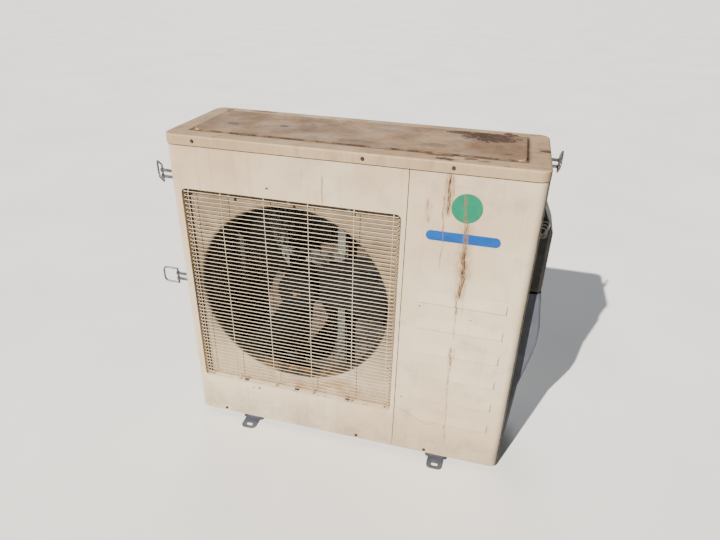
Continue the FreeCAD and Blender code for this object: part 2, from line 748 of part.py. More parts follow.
def compressor_rotor():
    """Rotor on its crankshaft, with the eccentric that drives the pump."""
    shaft = rod((COMP_X, COMP_Y, 72), (COMP_X, COMP_Y, 262), 8.0)
    rotor = rod((COMP_X, COMP_Y, 162), (COMP_X, COMP_Y, 253), 32.4)
    eccentric = rod((COMP_X + 4, COMP_Y, 95), (COMP_X + 4, COMP_Y, 115), 14.0)
    return shaft.fuse([rotor, eccentric])


def compressor_pump():
    """Pump cylinder with its chamber and shaft bearings."""
    pump = rod((COMP_X, COMP_Y, 78), (COMP_X, COMP_Y, 135), COMP_R - 3.5)
    chamber = rod((COMP_X, COMP_Y, 94.8), (COMP_X, COMP_Y, 115.2), 24.0)
    bearing = rod((COMP_X, COMP_Y, 60), (COMP_X, COMP_Y, 140), 8.0 + RUNNING_GAP)
    return pump.cut([chamber, bearing])


def compressor_terminal_cap():
    """Cover over the compressor's wire terminals."""
    z = COMP_Z[1] + 40
    cap = rod((COMP_X - 24, COMP_Y - 22, z), (COMP_X - 24, COMP_Y - 22, z + 22), 19.0)
    cap = cap.makeFillet(4.0, edges_at(cap, z + 22))
    stem = rod((COMP_X - 24, COMP_Y - 22, COMP_Z[1] + 20), (COMP_X - 24, COMP_Y - 22, z), 15.0)
    head = turned_z([(0, 0), (COMP_R, 0), (COMP_R, COMP_Z[1]), (48, COMP_Z[1] + 26), (20, COMP_Z[1] + 36),
                     (0, COMP_Z[1] + 38)], COMP_X, COMP_Y)
    return cap.fuse(stem).cut(head)


def accumulator():
    """Suction accumulator beside the compressor."""
    wall = [(0, 90), (14, 92), (ACCU_R, 112), (ACCU_R, 268), (12, 290), (0, 291)]
    return turned_z(wall, ACCU_X, ACCU_Y)


def accumulator_strap():
    """Band and bracket that tie the accumulator to the compressor."""
    z = (185.0, 203.0)
    band = ring((ACCU_X, ACCU_Y, z[0]), (ACCU_X, ACCU_Y, z[1]), ACCU_R + 1.5, ACCU_R)
    run = vec(ACCU_X - COMP_X, ACCU_Y - COMP_Y, 0)
    bridge = block((COMP_R + 0.1, run.Length - ACCU_R - 0.5), (-7, 7), z)
    bridge.rotate(vec(0, 0, 0), vec(0, 0, 1), math.degrees(math.atan2(run.y, run.x)))
    bridge.translate(vec(COMP_X, COMP_Y, 0))
    return band.fuse(bridge.cut(rod((ACCU_X, ACCU_Y, 100), (ACCU_X, ACCU_Y, 300), ACCU_R)))


def four_way_valve():
    """Reversing valve body with its end caps and port stubs."""
    axis_y = VALVE_Y
    body = rod((VALVE_X - 52, axis_y, VALVE_Z), (VALVE_X + 52, axis_y, VALVE_Z), 15.0)
    body = body.fuse(rod((VALVE_X - 58, axis_y, VALVE_Z), (VALVE_X + 58, axis_y, VALVE_Z), 11.0))
    bore = rod((VALVE_X - 50, axis_y, VALVE_Z), (VALVE_X + 50, axis_y, VALVE_Z), 12.0)
    stubs = [rod((VALVE_X, axis_y, VALVE_Z + 8), (VALVE_X, axis_y, VALVE_Z + 30), 9.0)]
    for offset in (-28, 0, 28):
        stub_x = VALVE_X + offset
        stubs.append(rod((stub_x, axis_y, VALVE_Z - 8), (stub_x, axis_y, VALVE_Z - 30), 10.0))
    return body.fuse(stubs).cut(bore)


def reversing_slider():
    """Piston pair that slides inside the reversing valve."""
    y = VALVE_Y
    bar = rod((VALVE_X - 40, y, VALVE_Z), (VALVE_X + 24, y, VALVE_Z), 4.0)
    left = rod((VALVE_X - 46, y, VALVE_Z), (VALVE_X - 36, y, VALVE_Z), 12.0 - RUNNING_GAP)
    right = rod((VALVE_X + 20, y, VALVE_Z), (VALVE_X + 30, y, VALVE_Z), 12.0 - RUNNING_GAP)
    return bar.fuse([left, right])


def reversing_coil():
    """Solenoid of the reversing valve's pilot."""
    y = VALVE_Y - 34
    coil = rounded(block((VALVE_X - 18, VALVE_X + 18), (y - 15, y + 15), (VALVE_Z - 14, VALVE_Z + 16)), (0, 0, 1), 5)
    neck = block((VALVE_X - 8, VALVE_X + 8), (y + 15, VALVE_Y - 14.9), (VALVE_Z - 6, VALVE_Z + 6))
    return coil.fuse(neck.cut(rod((VALVE_X - 60, VALVE_Y, VALVE_Z), (VALVE_X + 60, VALVE_Y, VALVE_Z), 15.0)))


def discharge_pipe():
    """From the compressor's top to the valve's upper port."""
    start = (COMP_X + 14, COMP_Y, COMP_Z[1] + 37.5)
    over = (COMP_X + 14, COMP_Y, 650)
    down = (VALVE_X, VALVE_Y, 650)
    pipe = tube([start, over, down, (VALVE_X, VALVE_Y, VALVE_Z + 30)], 6.35, 24)
    head = compressor_head()
    return pipe.cut(head)


def compressor_head():
    """Solid form of the compressor's top, to trim what stands on it."""
    top = COMP_Z[1]
    profile = [(0, 100), (COMP_R, 100), (COMP_R, top), (48, top + 26), (20, top + 36), (0, top + 38)]
    return turned_z(profile, COMP_X, COMP_Y)


def suction_pipe():
    """From the valve's middle port to the accumulator's top."""
    points = [(VALVE_X, VALVE_Y, VALVE_Z - 30), (VALVE_X, VALVE_Y, 440), (ACCU_X, ACCU_Y, 440), (ACCU_X, ACCU_Y, 291)]
    return tube(points, 8.0, 28)


def accumulator_outlet():
    """From the accumulator's bottom into the compressor's side."""
    aim = vec(ACCU_X - COMP_X, ACCU_Y - COMP_Y, 0).normalize()
    entry = vec(COMP_X, COMP_Y, 66) + aim * (COMP_R - 0.5)
    points = [(ACCU_X, ACCU_Y, 90), (ACCU_X, ACCU_Y, 66), (entry.x, entry.y, 66)]
    body = rod((COMP_X, COMP_Y, 20), (COMP_X, COMP_Y, 200), COMP_R)
    can = rod((ACCU_X, ACCU_Y, 112), (ACCU_X, ACCU_Y, 130), ACCU_R)
    return tube(points, 8.0, 17).cut([body, can])


def gas_header():
    """Upright header on the coil's right end, fed by the valve's left port."""
    x = COIL_END_X + 18
    y = COIL_BACK_Y - COIL_T - 12
    port_x = VALVE_X - 28
    feed = [(port_x, VALVE_Y, VALVE_Z - 30), (port_x, VALVE_Y, 478), (x, y, 478), (x, y, 505)]
    return rod((x, y, 505), (x, y, 880), 8.0).fuse(tube(feed, 8.0, 14))


def liquid_pipe():
    """From the coil's lower end to the liquid line valve."""
    x = COIL_END_X + 18
    y = COIL_BACK_Y - COIL_T - 12
    points = [(x, y, 330), (x, y, 120), (470, y, 120), (470, 60, 120), (470, 60, LIQUID_Z), (470, 0, LIQUID_Z),
              (489, 0, LIQUID_Z)]
    return tube(points, 4.76, 16)


def gas_pipe():
    """From the valve's right port to the gas line valve."""
    port_x = VALVE_X + 28
    points = [(port_x, VALVE_Y, VALVE_Z - 30), (port_x, VALVE_Y, 490), (453, 0, 490), (453, 0, GAS_Z), (489, 0, GAS_Z)]
    return tube(points, 8.0, 16)


def valve_bracket():
    """Plate inside the side window that carries the line valves."""
    plate = block((SIDE_X - 5.5, SIDE_X - 2.5), (-60, 100), (335, 575))
    for z, radius in ((GAS_Z, 12.3), (LIQUID_Z, 9.3)):
        plate = plate.cut(rod((SIDE_X - 10, 0, z), (SIDE_X, 0, z), radius))
    return plate


def line_valve(z, port_r, stub_r):
    """Angle valve with a flare port to the rear, a stem neck and a charging neck."""
    stub = rod((489.2, 0, z), (PORT_X - 8, 0, z), stub_r)
    body = rounded(block((PORT_X - 14, PORT_X + 14), (-14, 16), (z - 13, z + 13)), (0, 1, 0), 5)
    port = rod((PORT_X, 15, z), (PORT_X, PORT_Y[1], z), port_r)
    neck = rod((PORT_X, 14, z), (PORT_X, PORT_Y[0], z), port_r - 1.5)
    port = port.cut(ring((PORT_X, 16, z), (PORT_X, PORT_Y[0], z), port_r + 1, port_r - 1.5)).fuse(neck)
    stem = rod((PORT_X, -13, z), (PORT_X, -24, z), 8.5)
    bore = rod((PORT_X, 0, z), (PORT_X, PORT_Y[1] + 1, z), port_r - 3.6)
    return stub.fuse([body, port, stem]).cut(bore)


def valve_caps():
    """Hexagonal caps over the stems of both line valves."""
    caps = []
    for z in (GAS_Z, LIQUID_Z):
        skirt = hex_bar(vec(PORT_X, -24, z), vec(0, -1, 0), 11.0)
        lid = rod((PORT_X, -28, z), (PORT_X, -38, z), 10.5)
        lid = lid.makeFillet(3.0, [edge for edge in lid.Edges if edge.BoundBox.YMax < -37])
        caps.append(skirt.fuse(lid))
    return group(caps)


def charging_port():
    """Charging connection with its cap, above the gas line valve."""
    neck = rod((PORT_X, 2, GAS_Z + 13), (PORT_X, 2, GAS_Z + 24), 4.0)
    cap = rod((PORT_X, 2, GAS_Z + 24), (PORT_X, 2, GAS_Z + 36), 6.5)
    return neck.fuse(cap.makeFillet(2.0, edges_at(cap, GAS_Z + 36)))


# ---------------------------------------------------------------- side covers

def side_form(profile, y, inset):
    """Extrusion along Y of a side-view profile, smaller by an inset."""
    corners = [vec(x, y[0], z) for x, z in profile]
    outline = Part.makePolygon(corners + corners[:1])
    face = Part.Face(outline)
    if inset:
        face = face.makeOffset2D(-inset)
    return face.extrude(vec(0, y[1] - y[0], 0))


def valve_cover():
    """Bulged guard over the line valves and pipes, open to the rear and the unit."""
    inner_x = SIDE_X + SHEET
    profile = [(inner_x, 60), (512, 66), (517, 173), (521, 270), (541, 372), (551, 430), (551, 480), (545, 525),
               (536, 592), (inner_x, 592)]
    y = (-70.0, 100.0)
    form = side_form(profile, y, 0)
    form = form.makeFillet(8.0, front_edges(form, y[0], inner_x))
    hollow = side_form(profile, (y[0] + 2, y[1] + 5), 2.0)
    reach = block((inner_x - 5, inner_x + 8), (y[0] + 2, y[1] + 5), (62, 590))
    cover = form.cut(hollow).cut(reach)
    for z in (520, 548):
        cover = cover.cut(rounded(block((520, 560), (10, 60), (z, z + 10)), (1, 0, 0), 4))
    return cover


def front_edges(form, y, inner_x):
    """Front edges of a side cover, apart from the one against the casing."""
    edges = []
    for edge in form.Edges:
        box = edge.BoundBox
        if box.YLength < 1e-4 and abs(box.YMin - y) < 1e-4 and box.XMax > inner_x + 1e-3 and box.ZLength > 20:
            edges.append(edge)
    return edges


def terminal_cover():
    """Black box over the supply terminals, with a sloping top."""
    inner_x = SIDE_X + SHEET
    profile = [(inner_x, 600), (530, 600), (534, 612), (534, 774), (505, 837), (inner_x, 837)]
    y = (-70.0, 60.0)
    form = side_form(profile, y, 0)
    form = form.makeFillet(5.0, front_edges(form, y[0], inner_x))
    hollow = side_form(profile, (y[0] + 2.5, y[1] - 2.5), 2.5)
    reach = block((inner_x - 5, inner_x + 6), (y[0] + 2.5, y[1] - 2.5), (603, 834))
    return form.cut(hollow).cut(reach)


def supply_wires():
    """Three insulated wires that loop over the front of the terminal cover."""
    wires = []
    for number in range(3):
        y = -78.0 - number * 4.2
        top = 808.0 - number * 7
        low = 764.0 + number * 7
        out = 521.0 - number * 3
        points = [(SIDE_X + SHEET, y, top), (out, y, top), (out - 4, y, low), (SIDE_X + SHEET, y, low)]
        wires.append(tube(points, 1.9, 9.0 - number))
    return group(wires)


# ---------------------------------------------------------------- electrics

def control_box():
    """Open-fronted tray for the electrics."""
    outer = block((196, 480), (-130, 30), (690, 900))
    inner = block((197.5, 478.5), (-131, 28.5), (691.5, 898.5))
    return outer.cut(inner)


def control_board():
    """Printed circuit board on the back wall of the control box."""
    board = block((206, 390), (18, 19.6), (715, 880))
    parts = [block((220, 262), (-8, 18), (730, 772)), block((285, 330), (-2, 18), (735, 765))]
    for x in (225, 255, 285):
        parts.append(rod((x, -12, 820), (x, 18, 820), 11.0))
    for x, z in ((345, 730), (345, 760), (345, 790), (345, 820)):
        parts.append(block((x, x + 30), (4, 18), (z, z + 22)))
    return board.fuse(parts)


def board_posts():
    """Spacers behind the control board."""
    posts = []
    for x in (212, 384):
        for z in (721, 874):
            posts.append(rod((x, 19.6, z), (x, 28.5, z), 3.5))
    return group(posts)


def run_capacitor():
    """Round capacitor standing in the control box."""
    can = rod((440, -20, 691.5), (440, -20, 775), 24.0)
    can = can.makeFillet(3.0, edges_at(can, 775))
    tabs = [block((430, 431), (-24, -16), (774, 786)), block((449, 450), (-24, -16), (774, 786))]
    return can.fuse(tabs)


def contactor_body():
    """Switch block with a window for its moving carrier."""
    body = rounded(block((410, 465), (-110, -62), (691.5, 752)), (0, 0, 1), 4)
    window = block((425, 450), (-112, -76), (712, 734))
    return body.cut(window)


def contactor_carrier():
    """Carrier that is pulled in when the contactor closes."""
    carrier = block((425.3, 449.7), (-114, -84), (712.3, 733.7))
    grip = block((432, 443), (-114.5, -113), (716, 730))
    return carrier.fuse(grip).removeSplitter()


def terminal_block():
    """Six-way terminal strip on the side wall, behind the terminal cover."""
    strip = block((SIDE_X + SHEET, SIDE_X + SHEET + 20), (-50, 40), (700, 730))
    for number in range(7):
        y = -50 + number * 14.6
        strip = strip.fuse(block((SIDE_X + SHEET, SIDE_X + SHEET + 25), (y, y + 2), (700, 730)))
    return strip


def terminal_screws():
    """Clamp screws of the terminal strip."""
    screws = []
    for number in range(6):
        y = -50 + number * 14.6 + 8.3
        screws.append(rod((SIDE_X + SHEET + 20, y, 715), (SIDE_X + SHEET + 23, y, 715), 4.0))
    return group(screws)


def wiring_loom():
    """Bundle from the control box down to the compressor."""
    x = COMP_X - 24
    y = COMP_Y - 22
    points = [(300, -60, 690), (300, -60, 520), (x, y, 460), (x, y, COMP_Z[1] + 62)]
    return tube(points, 5.0, 20.0)


# ---------------------------------------------------------------- rings on the sides

def ring_axis(x_face, side):
    """Distance from the centre line to the pivot of a side ring."""
    return x_face + side * RING_STANDOFF


def side_ring(x_face, y, z, side, rest_deg):
    """Rod ring that swivels about an upright axis, at rest turned by an angle."""
    axis_x = ring_axis(x_face, side)
    low = z - RING_H / 2
    high = z + RING_H / 2
    bar = rod((axis_x, y, low), (axis_x, y, high), RING_R)
    far = axis_x + side * RING_OUT
    loop = tube([(axis_x, y, low), (far, y, low), (far, y, high), (axis_x, y, high)], RING_R, 13.0)
    body = bar.fuse(loop)
    for level in (low, high):
        body = body.fuse(Part.makeSphere(RING_R, vec(axis_x, y, level)))
    body.rotate(vec(axis_x, y, z), vec(0, 0, 1), rest_deg)
    return body


def ring_bracket(x_face, y, z, side):
    """Plate on the side sheet with two knuckles round the ring's straight bar."""
    axis_x = ring_axis(x_face, side)
    plate_x = sorted((x_face, x_face + side * 2.0))
    plate = rounded(block(plate_x, (y - 4, y + 16), (z - 26, z + 26)), (1, 0, 0), 5)
    bracket = plate
    for offset in (-9.0, 9.0):
        level = (z + offset - 4, z + offset + 4)
        knuckle = rod((axis_x, y, level[0]), (axis_x, y, level[1]), RING_R + 3)
        arm = block(sorted((x_face + side * 1.5, axis_x)), (y - 2.5, y + 2.5), level)
        bracket = bracket.fuse([knuckle, arm])
    bore = rod((axis_x, y, z - 30), (axis_x, y, z + 30), RING_R + RUNNING_GAP)
    return bracket.cut(bore)


# ---------------------------------------------------------------- screws and badges

def front_screw_places():
    """Places of the screws on the front, in the cover's skirt and along the base."""
    places = [(x, FRONT_Y - COVER_OVER, COVER_SCREW_Z) for x in COVER_SCREW_X]
    return places + [(x, FRONT_Y, BASE_SCREW_Z) for x in BASE_SCREW_X]


def back_screw_places():
    """Places of the screws in the back of the cover's skirt."""
    return [(x, BACK_Y + COVER_OVER, COVER_SCREW_Z) for x in (340.0, 450.0)]


def side_screw_places():
    """Places of the screws along the base on the right side."""
    return [(SIDE_X + SHEET, y, BASE_SCREW_Z) for y in (-60.0, 120.0)]


def cover_screws():
    """Screws through the cover's skirt, front and back."""
    screws = [screw(place, (0, -1, 0), 8.0) for place in front_screw_places()[:3]]
    screws += [screw(place, (0, 1, 0), 8.0) for place in back_screw_places()]
    return group(screws)


def base_screws():
    """Screws through the panels into the base pan, front and right."""
    screws = [screw(place, (0, -1, 0), 6.0) for place in front_screw_places()[3:]]
    screws += [screw(place, (1, 0, 0), 6.0) for place in side_screw_places()]
    return group(screws)


def emblem_badge():
    """Plain round badge high on the service panel."""
    disc = rod((317, FRONT_Y, 851), (317, FRONT_Y - 1.6, 851), 38.0)
    return disc.makeFillet(1.0, [edge for edge in disc.Edges if edge.BoundBox.YMax < FRONT_Y - 1])


def name_bar():
    """Plain rounded bar under the badge."""
    bar = rounded(block((222, 408), (FRONT_Y - 1.4, FRONT_Y), (757, 783)), (0, 1, 0), 12.5)
    return bar


# ---------------------------------------------------------------- assembly

def build_casing():
    nodes["base_pan"] = base_pan()
    nodes["foot_rail_left"] = foot_rail(-1)
    nodes["foot_rail_right"] = foot_rail(1)
    nodes["front_panel"] = front_panel()
    nodes["service_panel"] = service_panel()
    nodes["right_side_panel"] = right_side_panel()
    nodes["corner_post"] = corner_post()
    nodes["top_cover"] = top_cover()
    nodes["partition_plate"] = partition_plate()
    nodes["fan_guard"] = fan_guard()
    nodes["guard_clips"] = guard_clips()
    nodes["coil_guards"] = group(coil_guard(True) + coil_guard(False))
    nodes["cover_screws"] = cover_screws()
    nodes["base_screws"] = base_screws()
    nodes["emblem_badge"] = emblem_badge()
    nodes["name_bar"] = name_bar()


def build_air_side():
    nodes["axial_fan"] = axial_fan()
    nodes["fan_nut"] = fan_nut()
    nodes["motor_shaft"] = motor_shaft()
    nodes["motor_rotor"] = motor_rotor()
    nodes["motor_housing"] = motor_housing()
    nodes["motor_end_cap"] = motor_end_cap()
    nodes["motor_stator"] = motor_stator()
    nodes["motor_bearings"] = motor_bearings()
    nodes["motor_rail_left"] = motor_rail(-1)
    nodes["motor_rail_right"] = motor_rail(1)
    nodes["motor_bars"] = group([motor_bar(-1), motor_bar(1)])
    nodes["motor_screws"] = motor_screws()
    nodes["condenser_fins"] = condenser_fins()
    nodes["coil_end_plates"] = coil_end_plates()
    nodes["return_bends"] = group(return_bends(True) + return_bends(False))


def build_circuit():
    nodes["compressor_shell"] = compressor_shell()
    nodes["compressor_grommets"] = compressor_grommets()
    nodes["compressor_studs"] = compressor_studs()
    nodes["compressor_stator"] = compressor_stator()
    nodes["compressor_rotor"] = compressor_rotor()
    nodes["compressor_pump"] = compressor_pump()
    nodes["compressor_terminal_cap"] = compressor_terminal_cap()
    nodes["accumulator"] = group([accumulator(), accumulator_strap()])
    nodes["four_way_valve"] = four_way_valve()
    nodes["reversing_slider"] = reversing_slider()
    nodes["reversing_coil"] = reversing_coil()
    nodes["refrigerant_pipes"] = group([discharge_pipe(), suction_pipe(), accumulator_outlet(), gas_header(),
                                        liquid_pipe(), gas_pipe()])
    nodes["valve_bracket"] = valve_bracket()
    nodes["gas_line_valve"] = line_valve(GAS_Z, GAS_R, 12.0)
    nodes["liquid_line_valve"] = line_valve(LIQUID_Z, LIQUID_R, 9.0)
    nodes["valve_caps"] = group([valve_caps(), charging_port()])
    nodes["valve_cover"] = valve_cover()


def build_electrics():
    nodes["control_box"] = control_box()
    nodes["control_board"] = group([control_board(), board_posts()])
    nodes["run_capacitor"] = run_capacitor()
    nodes["contactor_body"] = contactor_body()
    nodes["contactor_carrier"] = contactor_carrier()
    nodes["terminal_block"] = group([terminal_block(), terminal_screws()])
    nodes["terminal_cover"] = terminal_cover()
    nodes["supply_wires"] = group([supply_wires(), wiring_loom()])


def build_rings():
    left = -SIDE_X
    right = SIDE_X + SHEET
    places = {
        "swivel_ring_left_low": (left, -136.0, 512.0, -1, 0),
        "swivel_ring_left_high": (left, -136.0, 841.0, -1, -42),
        "swivel_ring_right": (right, 118.0, 902.0, 1, 78),
    }
    brackets = []
    for name, (face, y, z, side, rest_deg) in places.items():
        nodes[name] = side_ring(face, y, z, side, rest_deg)
        brackets.append(ring_bracket(face, y, z, side))
    nodes["ring_brackets"] = group(brackets)


def export_all():
    os.makedirs("parts", exist_ok=True)
    for name, shape in nodes.items():
        shape.exportStep("parts/" + name + ".step")


build_casing()
build_air_side()
build_circuit()
build_electrics()
build_rings()
export_all()
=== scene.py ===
import math
import random

import bmesh
import bpy
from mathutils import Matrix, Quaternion, Vector


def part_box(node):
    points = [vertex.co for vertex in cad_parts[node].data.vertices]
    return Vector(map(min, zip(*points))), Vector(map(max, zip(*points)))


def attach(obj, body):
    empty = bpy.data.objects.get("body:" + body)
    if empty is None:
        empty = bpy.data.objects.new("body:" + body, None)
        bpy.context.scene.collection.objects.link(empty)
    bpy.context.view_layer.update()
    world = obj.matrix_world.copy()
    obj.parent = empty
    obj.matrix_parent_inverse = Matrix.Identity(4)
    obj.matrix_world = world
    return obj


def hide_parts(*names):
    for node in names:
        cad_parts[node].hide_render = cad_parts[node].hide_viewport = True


# Looks of the outdoor unit of a split air-source heat pump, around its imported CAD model.
# Everything is in metres, in the frame of the CAD: +X right, +Y to the back, +Z up.

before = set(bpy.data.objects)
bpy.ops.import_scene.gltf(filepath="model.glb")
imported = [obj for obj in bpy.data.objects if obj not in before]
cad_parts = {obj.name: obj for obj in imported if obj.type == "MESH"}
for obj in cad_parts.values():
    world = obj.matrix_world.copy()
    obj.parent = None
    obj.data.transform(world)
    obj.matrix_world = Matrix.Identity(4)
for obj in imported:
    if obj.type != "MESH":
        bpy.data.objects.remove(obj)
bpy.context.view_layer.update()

# The camera: its place and the point it looks at, its roll in degrees and its lens in millimetres.
CAMERA_PLACE = (0.3847, -1.4551, 1.3684)
CAMERA_AIM = (0.0521, -0.1600, 0.6383)
CAMERA_ROLL = 1.41
CAMERA_LENS = 28.08

# The studio: where the lamps stand, the point they shine at, and the sizes of floor and backdrop.
KEY_PLACE = (-1.6, -4.0, 3.9)
BACK_FILL_PLACE = (-1.2, 3.4, 2.2)
LIT_POINT = (0, 0, 0.5)
FLOOR_HALF = 60.0
BACKDROP_RADIUS = 50.0

# The coil: thin corrugated fins along a bent line, and the tubes through them.
COIL_BEND = 0.062
COIL_DEPTH = 0.036
FIN_PITCH = 0.0022
FIN_THICKNESS = 0.0008
FIN_LEVELS = 12
FIN_FOLDS = 6
FOLD_DEPTH = 0.0008
FIN_LEAN = 0.0002
FIN_SWAY = 0.0004
TUBE_RADIUS = 0.00476
TUBE_PITCH = 0.025
TUBE_LOWEST = 0.0515
TUBE_COUNT = 34
TUBE_STEPS = 40

# The pressed wedges of the service panel, one above the other.
WEDGE_LEFT = 0.217
WEDGE_RIGHT = 0.451
WEDGE_LOWEST = 0.150
WEDGE_PITCH = 0.0836
WEDGES_TOP = 0.606
WEDGE_SHADOW_INSET = 0.0008

# The outline of an old clear film on the service panel, as x and z.
FILM_MIDDLE = (0.332, 0.757)
FILM_HALF = (0.117, 0.148)

# The raised field of the top cover: half sizes, middle and the z of its slope.
FIELD_HALF = (0.4415, 0.1145)
FIELD_MIDDLE_Y = 0.001
FIELD_FOOT = 0.9600
FIELD_TOP = 0.9645

# The front, from its face to the back: the recess of the guard, and the throat of the orifice.
RECESS_EDGE = -0.150
RECESS_FLOOR = -0.136
THROAT_FRONT = -0.1332
THROAT_BACK = -0.1265
# The rusty stain low in the recess: where it fades out and is full, and the x of its middle.
STAIN_FADED = 0.275
STAIN_FULL = 0.185
STAIN_MIDDLE = -0.10
# The painted shadow under the skirt of the top cover: the band of z it darkens.
SKIRT_SHADOW_LOW = 0.9325
SKIRT_SHADOW_HIGH = 0.9362

# Runs of rust water on the service panel: x and z of the top, x and z of the bottom,
# half width and strength.
RUST_RUNS = [
    (0.269, 0.937, 0.273, 0.822, 0.0060, 0.95),
    (0.277, 0.934, 0.283, 0.868, 0.0020, 0.55),
    (0.263, 0.926, 0.261, 0.862, 0.0016, 0.55),
    (0.259, 0.880, 0.266, 0.745, 0.0020, 0.70),
    (0.266, 0.745, 0.263, 0.674, 0.0015, 0.60),
    (0.220, 0.868, 0.226, 0.798, 0.0045, 0.45),
    (0.233, 0.852, 0.228, 0.818, 0.0020, 0.40),
    (0.309, 0.888, 0.320, 0.800, 0.0060, 0.75),
    (0.320, 0.812, 0.322, 0.718, 0.0100, 0.72),
    (0.322, 0.740, 0.327, 0.645, 0.0115, 1.00),
    (0.327, 0.670, 0.321, 0.585, 0.0080, 0.98),
    (0.320, 0.600, 0.320, 0.534, 0.0028, 0.75),
    (0.320, 0.540, 0.323, 0.465, 0.0016, 0.55),
    (0.318, 0.437, 0.321, 0.366, 0.0038, 0.80),
    (0.321, 0.370, 0.322, 0.298, 0.0022, 0.65),
    (0.328, 0.434, 0.329, 0.390, 0.0016, 0.60),
    (0.321, 0.300, 0.326, 0.200, 0.0018, 0.60),
    (0.326, 0.205, 0.331, 0.070, 0.0018, 0.45),
]
# How many of these runs, from the first on, lie high enough to reach the badge and the bar.
BADGE_RUN_COUNT = 11
# A pale wash lies round each run: its width and its strength as shares of the run's.
WASH_WIDTH = 2.8
WASH_STRENGTH = 0.65
# Fainter runs on the front panel, given in the same way.
PANEL_RUNS = [
    (-0.053, 0.899, -0.054, 0.813, 0.0018, 0.50),
    (-0.109, 0.903, -0.110, 0.862, 0.0014, 0.28),
]
# The long scratch low on the service panel, as x and z of its bends.
SCRATCH = [(0.171, 0.184), (0.210, 0.170), (0.242, 0.154), (0.268, 0.137), (0.291, 0.143), (0.306, 0.156)]
# Stains on the top cover: x, y, half length, half width and strength.
COVER_STAINS = [
    (0.340, 0.072, 0.070, 0.048, 1.00),
    (0.270, 0.096, 0.040, 0.018, 0.90),
    (0.395, 0.118, 0.020, 0.026, 0.90),
    (-0.362, -0.022, 0.018, 0.010, 0.90),
    (-0.345, -0.034, 0.007, 0.012, 0.70),
    (-0.214, -0.004, 0.014, 0.008, 0.95),
    (-0.146, 0.041, 0.007, 0.005, 0.70),
    (-0.062, 0.112, 0.010, 0.006, 0.60),
    (-0.447, 0.133, 0.014, 0.007, 0.80),
    (-0.340, 0.148, 0.045, 0.007, 0.80),
    (0.255, -0.146, 0.024, 0.011, 0.95),
    (0.308, -0.130, 0.016, 0.008, 0.80),
    (0.343, -0.138, 0.015, 0.006, 0.65),
    (0.235, -0.122, 0.034, 0.008, 0.70),
    (0.214, -0.052, 0.034, 0.018, 0.45),
    (0.030, -0.086, 0.070, 0.018, 0.40),
    (0.486, -0.002, 0.015, 0.013, 0.85),
    (0.395, -0.070, 0.010, 0.005, 0.70),
]
# Chips and specks in the paint of the front: x, z and radius.
CHIPS = [
    (0.222, 0.555, 0.0022), (0.361, 0.534, 0.0020), (0.189, 0.227, 0.0025),
    (0.325, 0.139, 0.0020), (-0.208, 0.841, 0.0028), (-0.275, 0.146, 0.0035),
    (-0.296, 0.145, 0.0025), (0.140, 0.300, 0.0018), (-0.430, 0.700, 0.0015),
]


def rgb(red, green, blue):
    """Linear colour of a display colour given from 0 to 255."""
    def channel(value):
        value /= 255
        return value / 12.92 if value <= 0.04045 else ((value + 0.055) / 1.055) ** 2.4
    return (channel(red), channel(green), channel(blue), 1.0)


RUST_DARK = rgb(54, 36, 24)
RUST_LIGHT = rgb(146, 112, 78)
# Colour of dirt in corners and gaps, which also serves as painted shade there.
SOIL_AND_SHADE = rgb(112, 88, 68)
SOOT = rgb(34, 28, 24)
DUST = rgb(158, 146, 130)


